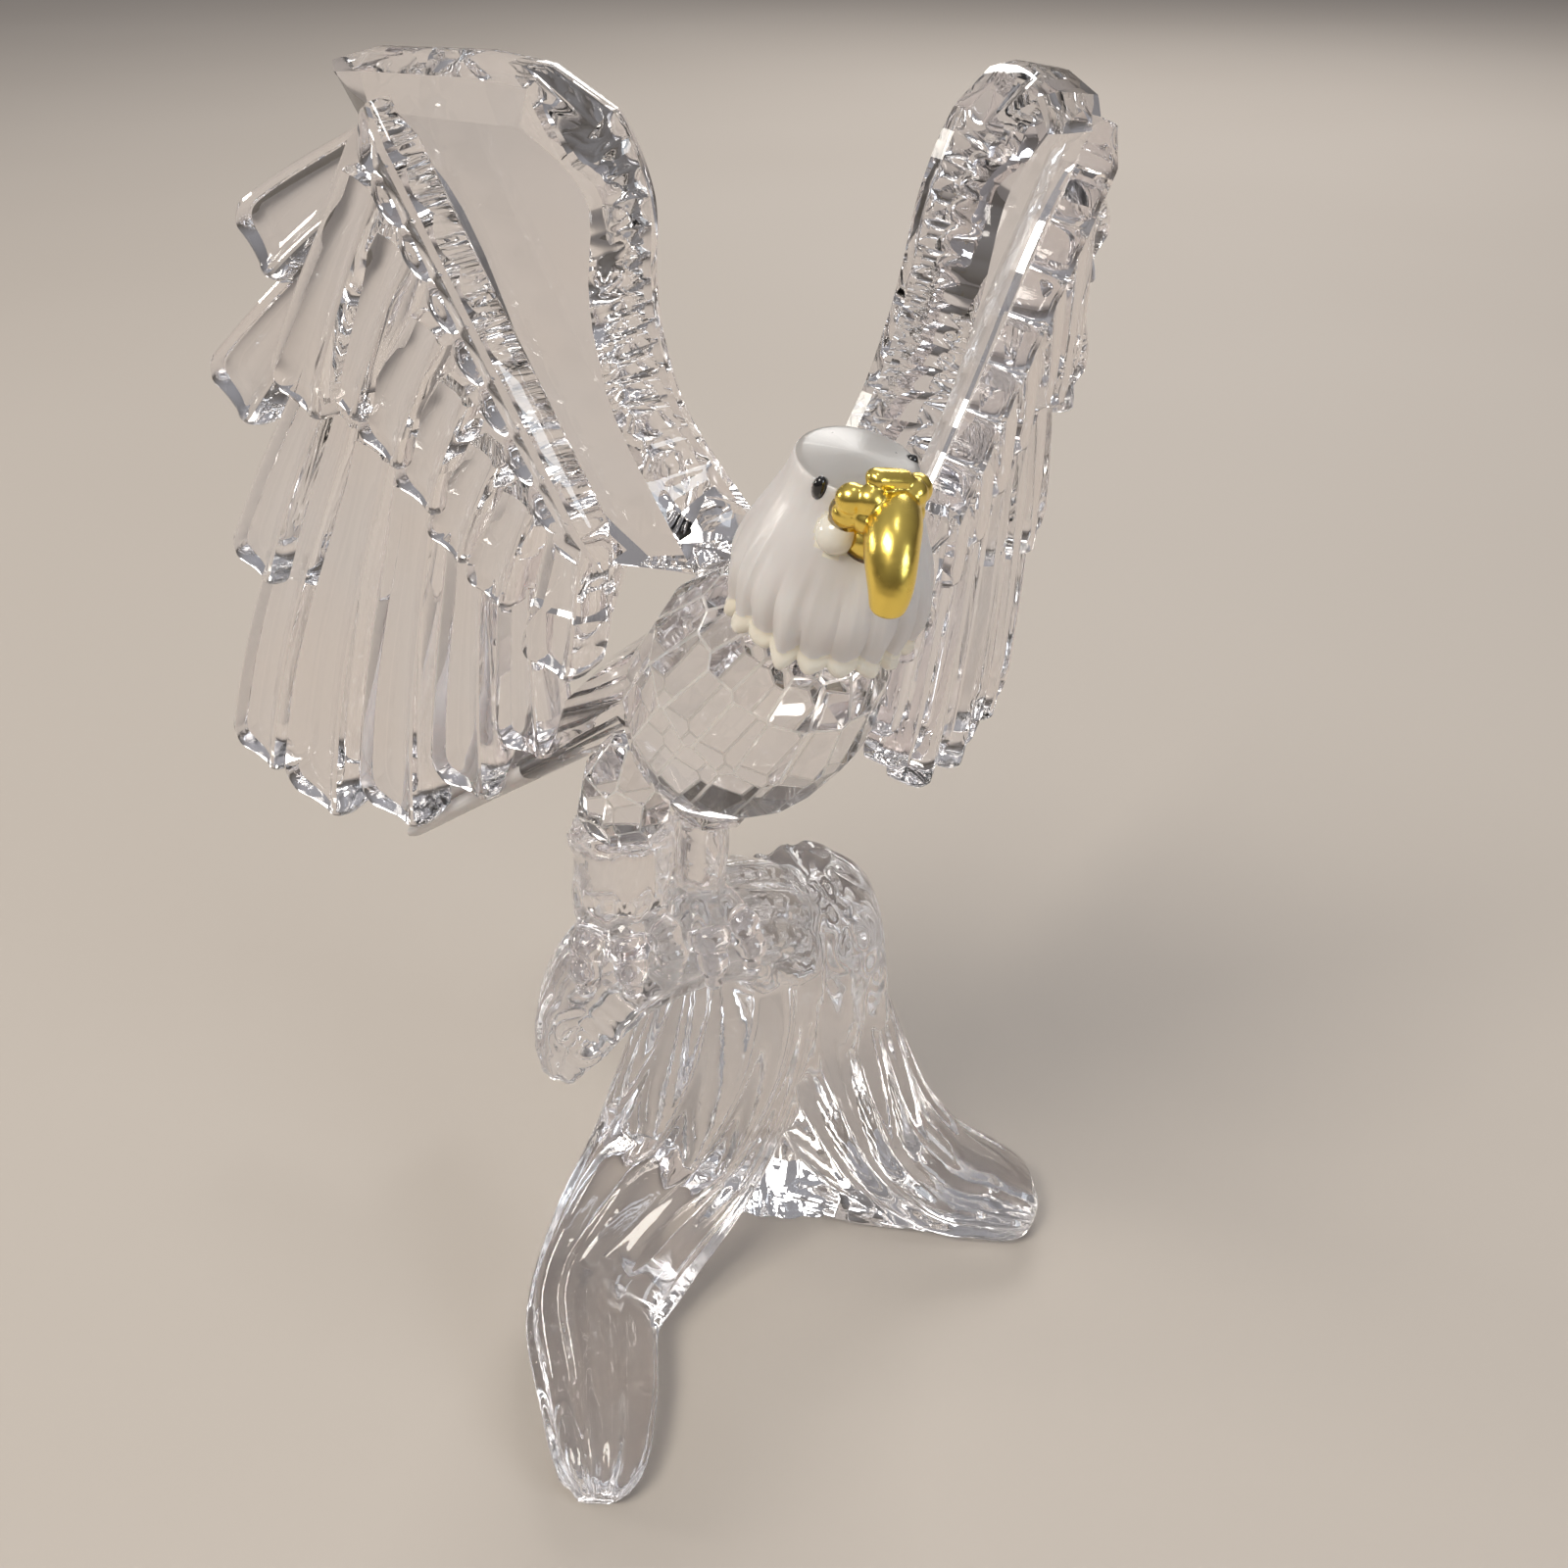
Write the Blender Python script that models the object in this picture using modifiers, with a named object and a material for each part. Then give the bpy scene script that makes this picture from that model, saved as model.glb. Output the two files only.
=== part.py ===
"""Crystal eagle figurine: an eagle of cut, pressed and frosted crystal with raised wings, which
perches on a cast crystal root. Metres, +Z up, the table at z = 0. It looks towards -Y."""

import math

import bmesh
import bpy
from mathutils import Euler, Matrix, Vector

# Driving dimensions
FIGURE_HEIGHT = 0.155          # table to the tops of the wings
GLUE_GAP = 0.0003              # every glued joint keeps this clearance
ARM_THICKNESS = 0.0070         # slab along each wing's leading edge
ARM_EDGE_LAND = 0.0011         # flat rim behind the fluted bevel
ARM_TIP_DROP = 0.0036          # the slab's face slopes down by this much at its tip
ARM_END_DROP = 0.0030          # and by this much at its other end
RIDGE_RISE = 0.0036            # beaded ridge over the slab's face
WEB_DEPTHS = (-0.0056, -0.0019)   # back and front of the plate behind the coverts
FLIGHT_THICKNESS = 0.0030
COVERT_THICKNESS = 0.0030
FEATHERS_BACK = -0.0056
FEATHER_STAGGER = 0.00013      # each feather lies this much nearer than its outer neighbour
FEATHER_RIM_RISE = 0.0007      # raised rim along each feather
FEATHER_FLUTE_DEPTH = 0.0007   # hollow along each feather
BEVEL_FLUTE_DEPTH = 0.0007
BEAK_WIDTH = 0.0056
EYE_HEIGHT = 0.0019
EYE_WIDTH = 0.0011
EYE_BULGE = 0.0006             # half its depth into the head
TAIL_LENGTH = 0.0525
TAIL_TIP_THICKNESS = 0.0042
ROOT_FLUTE_DEPTH = 0.0007
SHANK_FLUTE_DEPTH = 0.0003
WELD_LIMIT = 0.00001           # shortest edge that a cast or pressed piece keeps
FLAT_LIMIT = 0.0001            # anything of the base lower than this lies on the table
CAST_GRAIN = 0.0005            # finest detail of the cast base and the tail
WING_GRAIN = 0.00035           # finest detail of the pressed wings

# The figure's pose and carving are shares of its height: a unit is 1/155 of it
UNIT = FIGURE_HEIGHT / 155
BEVEL_FLUTES = 15
RIDGE_BEADS = 9
NECK_FLUTES = 19
ROOT_FLUTES = 9
SHANK_FLUTES = 7
BASE_FACETS = 2200
WING_FACETS = 2330
TAIL_FACETS = 500

TRUNK_FOOT = (0.0, 15.0, 0.0)  # on the table, the origin of the finished figure
BODY_CENTRE = (-2.9, -22.0, 102.6)
BODY_TOP = (3.9, -33.7, 117.4)
BODY_HALF_WIDTH = 11.0
HEAD_HEM = (3.1, -33.4, 115.9)
HEAD_CROWN = (5.8, -36.0, 131.1)
HEAD_TURN = math.radians(30)
EYE_LEVEL = 0.925
EYE_TURNS = (math.radians(-66), math.radians(78))   # right and left eye, from the beak
BEAK_PATH = [(7.0, -37.8, 127.7), (8.1, -41.3, 128.2), (7.9, -44.2, 126.8), (7.8, -45.8, 124.4),
             (7.5, -45.8, 122.2)]
RIGHT_WING_AT = (-14.9, -15.9, 112.0)
RIGHT_WING_TURN = (0.0, 0.0, -25.5)
LEFT_WING_AT = (11.4, -13.3, 112.0)
LEFT_WING_TURN = (9.2, 8.5, 61.5)
TAIL_ROOT = (-10.0, -12.4, 99.0)
TAIL_TIP_DIRECTION = (-0.628, 0.470, -0.620)
RIGHT_SHANK = ((-16.0, -21.5, 86.6), (-17.4, -20.5, 73.0))
LEFT_SHANK = ((-8.4, -17.5, 85.5), (-9.4, -15.5, 70.0))
RIGHT_THIGH = ((-15.2, -22.0, 86.6), (0.18, 0.05, 1), 4.4, 5.8)   # foot, lean, half sizes
LEFT_THIGH = ((-6.8, -18.0, 85.5), (0.1, -0.1, 1), 4.4, 5.8)

# Wing features on its own plane: outward, then up from the shoulder
ARM_OUTER = [(31, 41), (26, 42.3), (14, 42.7), (8, 42), (2.2, 38.9), (-0.9, 32.4),
             (-0.8, 25.3), (-1.3, 20), (-3.9, 12.7), (-12.0, 2.4)]
ARM_INNER = [(27.4, 38.8), (22.8, 38.3), (13.0, 38.1), (7.6, 38.1), (3.9, 35.7), (1.4, 32.2),
             (1.9, 25.1), (1.3, 19.4), (-0.7, 13.0), (-8.5, -1.0)]
ARM_BACK = [(26.4, 35.6), (20.6, 34.2), (18.5, 32.0), (17, 29.8), (15.4, 26.6), (13.6, 22),
            (11.8, 17), (9.4, 11.5), (5.6, 4.4), (-0.3, -0.4)]
WEB_OUTER = [(27.5, 35.5), (31.5, 29), (36, 19), (35, 9), (28, 3), (21, -3), (14, -7), (5, -8)]
RIDGE_TOP = (22.3, 38.9)
RIDGE_BOTTOM = (2.2, -0.4)
WRIST_STATION = 4
FLIGHT_FEATHERS = [          # root, tip, width, sideways bend
    ((24.5, 34.5), (41.1, 23.8), 9.0, -0.6),
    ((27.0, 27.0), (47.6, 8.0), 9.0, -0.8),
    ((34.0, 14.0), (48.6, -11.2), 7.8, -0.8),
    ((33.5, 9.0), (53.7, -36.6), 8.8, -2.6),
    ((30.0, 6.0), (45.7, -40.8), 10.8, -2.4),
    ((24.7, 2.0), (34.1, -39.2), 10.6, -1.6),
    ((19.0, -2.0), (23.2, -32.6), 9.6, -0.8),
    ((13.6, -5.0), (14.4, -25.2), 8.0, -0.2),
]
COVERTS = [
    ((24.5, 32.0), (37.0, 9.8), 8.4, -0.8),
    ((21.5, 27.0), (31.8, 10.6), 8.2, -0.6),
    ((19.0, 20.0), (27.4, 6.4), 7.6, -0.5),
    ((16.8, 14.5), (23.6, 2.2), 7.2, -0.4),
    ((14.0, 9.0), (20.6, -2.4), 6.8, -0.3),
    ((10.5, 5.0), (16.2, -6.4), 7.0, -0.2),
    ((5.0, 2.5), (9.6, -13.2), 8.4, 0.6),
]
FEATHER_ROOT_SHARE = 0.62     # a feather's width at its root, against its tip
TIP_CORNER = 0.34             # radius of a feather's corners, against its width
ARM_END = ((-16, -8), (6, 12.7))            # corners of the part of the wing by the tail
INNER_FEATHERS = ((2, -34), (30, -5))


# Shared modelling helpers

def vec(point):
    """A point of the figure, in metres from the foot of the root's trunk."""
    return (Vector(point) - Vector(TRUNK_FOOT)) * UNIT


def lerp(a, b, t):
    return a + (b - a) * t


def along(points, t):
    """A point on the polyline, with t from 0 to 1 spread evenly over its corners."""
    place = min(max(t, 0.0), 1.0) * (len(points) - 1)
    index = min(int(place), len(points) - 2)
    first = Vector(points[index])
    return first.lerp(Vector(points[index + 1]), place - index)


def smooth_path(points, count):
    """Evenly numbered points on the Catmull-Rom curve through the given ones."""
    knots = [Vector(p) for p in points]
    knots = [knots[0] * 2 - knots[1]] + knots + [knots[-1] * 2 - knots[-2]]
    result = []
    for i in range(count):
        place = i / (count - 1) * (len(points) - 1)
        k = min(int(place), len(points) - 2)
        t = place - k
        a, b, c, d = knots[k:k + 4]
        result.append(0.5 * ((2 * b) + (c - a) * t + (2 * a - 5 * b + 4 * c - d) * t * t
                             + (3 * b - a - 3 * c + d) * t ** 3))
    return result


def new_object(name, bm, collection, material=None, smooth=False):
    bmesh.ops.recalc_face_normals(bm, faces=bm.faces)
    mesh = bpy.data.meshes.new(name)
    bm.to_mesh(mesh)
    bm.free()
    obj = bpy.data.objects.new(name, mesh)
    collection.objects.link(obj)
    if material:
        mesh.materials.append(material)
    if collection.hide_render:
        obj.hide_render = True
        obj.display_type = "WIRE"
    if smooth:
        mesh.shade_smooth()
        mesh.set_sharp_from_angle(angle=math.radians(40))
    return obj


def loft(sections):
    """A closed solid through sections with the same number of corners."""
    bm = bmesh.new()
    rings = [[bm.verts.new(p) for p in section] for section in sections]
    count = len(rings[0])
    for low, high in zip(rings, rings[1:]):
        for i in range(count):
            j = (i + 1) % count
            bm.faces.new((low[i], low[j], high[j], high[i]))
    bm.faces.new(rings[0][::-1])
    bm.faces.new(rings[-1])
    bmesh.ops.triangulate(bm, faces=bm.faces)
    return bm


def limb(points, sizes, corners, rings, side_hint, flutes=0, depth=0.0, phase=0.0):
    """A tube along a smooth path. Its half size along the side hint and across it follow sizes."""
    path = smooth_path(points, rings)
    sections = []
    for i, centre in enumerate(path):
        ahead = (path[min(i + 1, rings - 1)] - path[max(i - 1, 0)]).normalized()
        side = Vector(side_hint)
        side = (side - ahead * side.dot(ahead)).normalized()
        top = ahead.cross(side)
        half_width, half_height = along([(w, h, 0) for w, h in sizes], i / (rings - 1)).xy
        section = []
        for k in range(corners):
            angle = math.tau * k / corners
            ripple = 1 + depth * math.cos(flutes * angle + phase) / max(half_width, half_height)
            offset = side * (half_width * math.cos(angle)) + top * (half_height * math.sin(angle))
            section.append(centre + offset * ripple)
        sections.append(section)
    return loft(sections)


def hull(points, weld):
    bm = bmesh.new()
    for point in points:
        bm.verts.new(point)
    bmesh.ops.remove_doubles(bm, verts=bm.verts, dist=weld)
    made = bmesh.ops.convex_hull(bm, input=bm.verts)
    loose = {v for v in made["geom_interior"] + made["geom_unused"]
             if isinstance(v, bmesh.types.BMVert)}
    bmesh.ops.delete(bm, geom=list(loose), context="VERTS")
    return bm


def cut_stone(directions, support):
    """A cut stone: the solid within the facet planes, whose distances the support gives."""
    normals = [Vector(d).normalized() for d in directions]
    duals = {}
    for normal in normals:
        distance = support(normal)
        duals[(normal * (UNIT / distance)).to_tuple(9)] = (normal, distance)
    dual_hull = hull(duals, 1e-9)
    keys = {v.index: duals[min(duals, key=lambda k: (Vector(k) - v.co).length)]
            for v in dual_hull.verts}
    corners = []
    for face in dual_hull.faces:
        planes = [keys[v.index] for v in face.verts]
        rows = Matrix([normal for normal, _ in planes])
        corners.append(rows.inverted() @ Vector([distance for _, distance in planes]))
    dual_hull.free()
    bm = hull(corners, 0.01 * UNIT)
    bmesh.ops.dissolve_limit(bm, angle_limit=math.radians(0.5), verts=bm.verts, edges=bm.edges)
    return bm


def facet_rows(rows, axis, phase=0.5):
    """Facet directions in rows round an axis. Each row is (angle from the axis, count)."""
    turn = Vector((0, 0, 1)).rotation_difference(Vector(axis).normalized())
    result = []
    for index, (angle, count) in enumerate(rows):
        polar = math.radians(angle)
        for k in range(count):
            azimuth = math.tau * (k + phase * (index % 2)) / count
            spoke = Vector((math.sin(polar) * math.cos(azimuth),
                            math.sin(polar) * math.sin(azimuth), math.cos(polar)))
            result.append(turn @ spoke)
    return result


def egg_support(axis, half_length, half_width, taper=0.0):
    """How far a facet of an egg lies from its centre. A positive taper fattens its lower end."""
    axis = Vector(axis).normalized()

    def support(normal):
        up = normal.dot(axis)
        across = math.sqrt(max(0.0, 1 - up * up))
        width = half_width * (1 - taper * up)
        return math.hypot(half_length * up, width * across)
    return support


def place(bm, centre):
    bmesh.ops.translate(bm, vec=centre, verts=bm.verts)
    return bm


def cut_by(target, cutters):
    """Takes each cutter's shape off the target."""
    for cutter in cutters:
        modifier = target.modifiers.new(cutter.name, "BOOLEAN")
        modifier.operation = "DIFFERENCE"
        modifier.object = cutter
        modifier.solver = "EXACT"
        keep_result(target)


def keep_result(obj):
    """Turns what the object's modifiers make into its own mesh."""
    graph = bpy.context.evaluated_depsgraph_get()
    mesh = bpy.data.meshes.new_from_object(obj.evaluated_get(graph), depsgraph=graph)
    mesh.name = obj.name
    obj.modifiers.clear()
    obj.data = mesh


def tidy(obj):
    """Welds the shortest edges away, lays the lowest corners flat and says if it stays closed."""
    bm = bmesh.new()
    bm.from_mesh(obj.data)
    for vertex in bm.verts:
        if vertex.co.z < FLAT_LIMIT:
            vertex.co.z = 0.0
    bmesh.ops.remove_doubles(bm, verts=bm.verts, dist=WELD_LIMIT)
    bmesh.ops.dissolve_degenerate(bm, edges=bm.edges, dist=WELD_LIMIT)
    bmesh.ops.triangulate(bm, faces=bm.faces)
    closed = all(edge.is_manifold for edge in bm.edges)
    bm.to_mesh(obj.data)
    bm.free()
    return closed


def fused(name, pieces, cutters, collection, mat, grain, triangles):
    """One cast solid from overlapping pieces, its facets thinned to about a number, then cut.

    A grain that leaves two walls touching somewhere gives way to a slightly coarser one."""
    obj = new_object(name, bmesh.new(), collection, mat)
    for attempt in range(20):
        bm = bmesh.new()
        for piece in pieces:
            bm.from_mesh(piece.data)
        bm.to_mesh(obj.data)
        bm.free()
        size = grain * (1 + 0.011 * attempt)
        remesh = obj.modifiers.new("cast", "REMESH")
        remesh.mode = "VOXEL"
        remesh.voxel_size = size
        keep_result(obj)
        thin = obj.modifiers.new("thin", "DECIMATE")
        thin.ratio = triangles / sum(len(p.vertices) - 2 for p in obj.data.polygons)
        keep_result(obj)
        cut_by(obj, cutters)
        if tidy(obj):
            break
    for piece in pieces:
        bpy.data.objects.remove(piece)
    return obj


def material(name, colour, roughness, metallic=0.0, transmission=0.0, ior=1.5):
    mat = bpy.data.materials.new(name)
    mat.use_nodes = True
    shader = mat.node_tree.nodes["Principled BSDF"]
    shader.inputs["Base Color"].default_value = (*colour, 1)
    shader.inputs["Roughness"].default_value = roughness
    shader.inputs["Metallic"].default_value = metallic
    shader.inputs["Transmission Weight"].default_value = transmission
    shader.inputs["IOR"].default_value = ior
    mat.diffuse_color = (*colour, 1)
    return mat


# Wings

def wing_point(u, v, depth):
    """A point of the wing, with depth towards the ventral side, which faces -Y."""
    return Vector((u * UNIT, -depth, v * UNIT))


def arm_solid():
    """The slab along the leading edge: a flat face, a cut bevel with cross flutes and a rim."""
    stations = []
    last = len(ARM_OUTER) - 1
    for index in range(last):
        steps = 3 * BEVEL_FLUTES // (last - WRIST_STATION) if index >= WRIST_STATION else 1
        stations += [index + k / steps for k in range(steps)]
    stations += [last - 0.14, last]
    back = -ARM_THICKNESS
    drops = {0: ARM_TIP_DROP, last: ARM_END_DROP}
    sections = []
    for station in stations:
        share = station / last
        face = -drops.get(station, 0.0)
        outer = along([(*p, 0) for p in ARM_OUTER], share)
        inner = along([(*p, 0) for p in ARM_INNER], share)
        tail = along([(*p, 0) for p in ARM_BACK], share)
        wave = max(0.0, station - WRIST_STATION) / (last - WRIST_STATION) * BEVEL_FLUTES
        flute = BEVEL_FLUTE_DEPTH * abs(math.sin(math.pi * wave))
        middle = outer.lerp(inner, 0.5)
        mid_depth = (back + ARM_EDGE_LAND) * 0.5 - flute
        shift = (inner - outer).normalized() * flute / UNIT
        middle = middle + shift
        sections.append([
            wing_point(tail.x, tail.y, back), wing_point(outer.x, outer.y, back),
            wing_point(outer.x, outer.y, back + ARM_EDGE_LAND),
            wing_point(middle.x, middle.y, mid_depth),
            wing_point(inner.x, inner.y, face), wing_point(tail.x, tail.y, face),
        ])
    return loft(sections)


def web_solid():
    """The plate behind the coverts, which joins every feather to the ridge."""
    sections = []
    count = 2 * len(WEB_OUTER)
    for i in range(count):
        share = i / (count - 1)
        inner = along([(*RIDGE_TOP, 0), (*RIDGE_BOTTOM, 0)], share)
        outer = along([(*p, 0) for p in WEB_OUTER], share)
        sections.append([
            wing_point(inner.x, inner.y, WEB_DEPTHS[0]), wing_point(inner.x, inner.y, WEB_DEPTHS[1]),
            wing_point(outer.x, outer.y, WEB_DEPTHS[1] - 0.0006),
            wing_point(outer.x, outer.y, WEB_DEPTHS[0] + 0.0004),
        ])
    return loft(sections)


def ridge_solid():
    """The beaded ridge over the roots of the feathers."""
    top = Vector((*RIDGE_TOP, 0))
    bottom = Vector((*RIDGE_BOTTOM, 0))
    direction = (bottom - top).normalized()
    across = Vector((direction.y, -direction.x, 0))
    sections = []
    steps = 4 * RIDGE_BEADS
    for i in range(steps + 1):
        share = i / steps
        bead = abs(math.sin(math.pi * RIDGE_BEADS * share))
        end = min(1.0, 0.45 + 6 * min(share, 1 - share))
        half = (2.0 + 0.8 * bead) * end
        rise = RIDGE_RISE * (0.72 + 0.28 * bead) * end
        centre = top.lerp(bottom, share)
        outer = centre + across * -half
        inner = centre + across * 2.8 * end
        low = -ARM_THICKNESS * 0.6
        sections.append([
            wing_point(inner.x, inner.y, low), wing_point(inner.x, inner.y, rise * 0.6),
            wing_point(*(centre + across * 1.5 * end).xy, rise),
            wing_point(*(centre - across * half * 0.45).xy, rise * 0.96),
            wing_point(outer.x, outer.y, rise * 0.45), wing_point(outer.x, outer.y, low),
        ])
    return loft(sections)


def feather_solid(root, tip, width, bend, mid_depth, thickness, tilt, rings=9):
    """A feather: a tongue with a rounded end, a long hollow and a raised rim on its inner side."""
    start = Vector((*root, 0))
    end = Vector((*tip, 0))
    direction = (end - start).normalized()
    across = Vector((direction.y, -direction.x, 0))
    length = (end - start).length
    corner = TIP_CORNER * width
    profile = [(-1.0, 0.10, 0), (-0.86, 0.50, 0.5), (-0.45, 0.5, -0.6), (0.15, 0.5, -1.0),
               (0.55, 0.5, 0.0), (0.80, 0.5, 1.0), (1.0, 0.15, 0), (0.86, -0.5, 0),
               (0.0, -0.5, 0.4), (-0.86, -0.5, 0)]
    shares = [1 - (1 - i / (rings - 1)) ** 1.35 for i in range(rings)]
    sections = []
    for share in shares:
        left = 1 - share
        short = max(0.0, corner - left * length)
        rounding = 1 - 2 * (corner - math.sqrt(corner ** 2 - short ** 2)) / width
        half = 0.5 * width * lerp(FEATHER_ROOT_SHARE, 1.0, share) * rounding
        bow = bend * math.sin(math.pi * 0.5 * share) ** 2 * (1 - share) * 2
        centre = start.lerp(end, share) + across * bow
        relief = min(1.0, 4 * left + 0.15) * min(1.0, 0.4 + 3 * share)
        thick = thickness * (0.62 + 0.38 * min(1.0, rounding + 0.1))
        middle = mid_depth + tilt * share
        section = []
        for q, level, carve in profile:
            depth = middle + thick * level
            depth += relief * carve * (FEATHER_RIM_RISE if carve > 0 else FEATHER_FLUTE_DEPTH)
            spot = centre + across * (q * half)
            section.append(wing_point(spot.x, spot.y, depth))
        sections.append(section)
    return loft(sections)


def wing_pieces(pose, collection):
    """The overlapping pieces of a wing, moved to its pose."""
    pieces = [new_object("arm", arm_solid(), collection),
              new_object("ridge", ridge_solid(), collection),
              new_object("web", web_solid(), collection)]
    for index, (root, tip, width, bend) in enumerate(FLIGHT_FEATHERS):
        depth = -0.55 * ARM_THICKNESS + FEATHER_STAGGER * index
        pieces.append(new_object("flight", feather_solid(
            root, tip, width, bend, depth, FLIGHT_THICKNESS, 0.0008), collection))
    for index, (root, tip, width, bend) in enumerate(COVERTS):
        depth = -0.16 * ARM_THICKNESS + FEATHER_STAGGER * index
        pieces.append(new_object("covert", feather_solid(
            root, tip, width, bend, depth, COVERT_THICKNESS, -0.0002), collection))
    for piece in pieces:
        to_pose(piece, pose)
    return pieces


def wing_room(low, high, back):
    """A block on the wing's own plane that the tail keeps clear of."""
    return loft([[wing_point(low[0], v, back - GLUE_GAP), wing_point(high[0], v, back - GLUE_GAP),
                  wing_point(high[0], v, GLUE_GAP), wing_point(low[0], v, GLUE_GAP)]
                 for v in (low[1], high[1])])


def wing_pose(at, turn, mirrored):
    pose = Matrix.LocRotScale(vec(at), Euler([math.radians(a) for a in turn]), None)
    return pose @ Matrix.Diagonal((-1, 1, 1, 1)) if mirrored else pose


def to_pose(obj, pose):
    obj.data.transform(pose)
    if pose.determinant() < 0:
        obj.data.flip_normals()


# Body, thighs, head, beak, eyes and tail

def body_stone(grow=0.0):
    centre = vec(BODY_CENTRE)
    axis = vec(BODY_TOP) - centre
    rows = [(0, 1), (22, 7), (40, 11), (57, 14), (74, 16), (90, 17), (106, 16), (123, 14),
            (140, 10), (159, 6), (180, 1)]
    egg = egg_support(axis, axis.length * 0.98, BODY_HALF_WIDTH * UNIT, taper=0.06)
    bm = cut_stone(facet_rows(rows, axis), lambda n: egg(n) + grow)
    return place(bm, centre)


def thigh_stone(foot, lean, half_width, half_height, grow=0.0):
    """A cut drop: narrow above, wide and flat below, where it meets the shank."""
    centre = vec(foot) + Vector((0, 0, half_height * 0.92 * UNIT))
    axis = Vector(lean)
    rows = [(28, 5), (62, 7), (88, 8), (118, 7)]
    egg = egg_support(axis, half_height * UNIT, half_width * UNIT, taper=0.38)
    directions = facet_rows(rows, axis) + [Vector((0, 0, -1)), axis]
    flat = half_height * 0.92 * UNIT - GLUE_GAP

    def support(normal):
        return (flat if normal.z < -0.999 else egg(normal)) + grow
    return place(cut_stone(directions, support), centre)


def head_axes():
    low = vec(HEAD_HEM)
    top = vec(HEAD_CROWN)
    axis = (top - low).normalized()
    front = Vector((math.sin(HEAD_TURN), -math.cos(HEAD_TURN), 0))
    front = (front - axis * front.dot(axis)).normalized()
    return low, top, axis, front, axis.cross(front)


def head_solid(grow=0.0, around=2 * NECK_FLUTES):
    """Frosted head and neck: fluted neck feathers with a scalloped hem, a flat brow."""
    low, top, axis, front, side = head_axes()
    height = (top - low).length
    profile = [7.5, 8.0, 8.3, 8.3, 7.95, 7.35, 6.6, 5.85, 5.35, 5.0, 4.2]
    levels = [0.05, 0.12, 0.22, 0.32, 0.43, 0.54, 0.66, 0.77, 0.87, 0.95, 1.0]
    sections = []
    for level, radius in zip(levels, profile):
        drape = max(0.0, 1 - level / 0.6)
        section = []
        for k in range(around):
            angle = math.tau * k / around
            lobe = abs(math.cos(NECK_FLUTES * angle / 2))
            r = (radius + drape * (0.55 * lobe - 0.25)) * UNIT + grow
            shift = -drape ** 3 * 0.9 * lobe * UNIT
            rise = height * level + shift + (grow if level == 1 else -grow * drape)
            spot = low + axis * rise + front * (r * math.cos(angle))
            section.append(spot + side * (r * 0.97 * math.sin(angle)))
        sections.append(section)
    return loft(sections)


def beak_solid(grow=0.0):
    """A hooked beak: a broad cere, an arched culmen and a point that turns down."""
    sizes = [(0.46, 0.38), (0.50, 0.48), (0.42, 0.40), (0.29, 0.32), (0.15, 0.16)]
    sizes = [(w * BEAK_WIDTH + grow, h * BEAK_WIDTH + grow) for w, h in sizes]
    side = head_axes()[4]
    return limb([vec(p) for p in BEAK_PATH], sizes, 12, 9, side)


def eye_solid(turn, grow=0.0):
    low, top, axis, front, side = head_axes()
    outward = front * math.cos(turn) + side * math.sin(turn)
    centre = low + axis * ((top - low).length * EYE_LEVEL) + outward * (4.9 * UNIT)
    bm = bmesh.new()
    bmesh.ops.create_uvsphere(bm, u_segments=10, v_segments=6, radius=1.0)
    shape = Matrix((outward.cross(axis) * (EYE_WIDTH / 2 + grow), outward * (EYE_BULGE + grow),
                    axis * (EYE_HEIGHT / 2 + grow))).transposed().to_4x4()
    bmesh.ops.transform(bm, matrix=Matrix.Translation(centre) @ shape, verts=bm.verts)
    return bm


def tail_axes():
    ahead = Vector(TAIL_TIP_DIRECTION).normalized()
    across = ahead.cross(Vector((0, 0, 1))).normalized()
    return vec(TAIL_ROOT), ahead, across, across.cross(ahead)


def tail_parts(collection):
    """The tail's cut root block and its fan of overlapping feathers."""
    root, ahead, across, top = tail_axes()
    parts = []
    spread = [(-1, 0.90, -0.0006), (1, 0.93, -0.0004), (-0.5, 0.97, 0.0002), (0.5, 1.0, 0.0004),
              (0, 0.95, 0.0010)]
    for place_across, reach, lift in spread:
        tip = root + ahead * TAIL_LENGTH * reach + across * (place_across * 4.4 * UNIT)
        start = root + across * (place_across * 2.6 * UNIT) + ahead * (6 * UNIT)
        path = [start, start.lerp(tip, 0.35), start.lerp(tip, 0.7), start.lerp(tip, 0.93), tip]
        path = [p + top * lift for p in path]
        half = 0.5 * TAIL_TIP_THICKNESS
        sizes = [(3.0 * UNIT, half * 1.6), (3.4 * UNIT, half * 1.3), (3.6 * UNIT, half),
                 (3.0 * UNIT, half * 0.9), (1.4 * UNIT, half * 0.45)]
        parts.append(new_object("tail feather", limb(path, sizes, 10, 7, across), collection))
    return parts


def tail_block():
    root, ahead, across, top = tail_axes()
    sections = []
    shape = [(0, 5.6, 5.2), (9, 6.2, 5.0), (17, 6.6, 3.6), (25, 6.8, 2.4)]
    for forward, half_width, half_height in shape:
        centre = root + ahead * forward * UNIT
        corners = [(1, 0.1), (0.62, 0.82), (0, 1), (-0.62, 0.82), (-1, 0.1), (-0.7, -0.6),
                   (0, -0.8), (0.7, -0.6)]
        sections.append([centre + across * (x * half_width * UNIT) + top * (y * half_height * UNIT)
                         for x, y in corners])
    return loft(sections)


# The root, its branch and the feet

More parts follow.
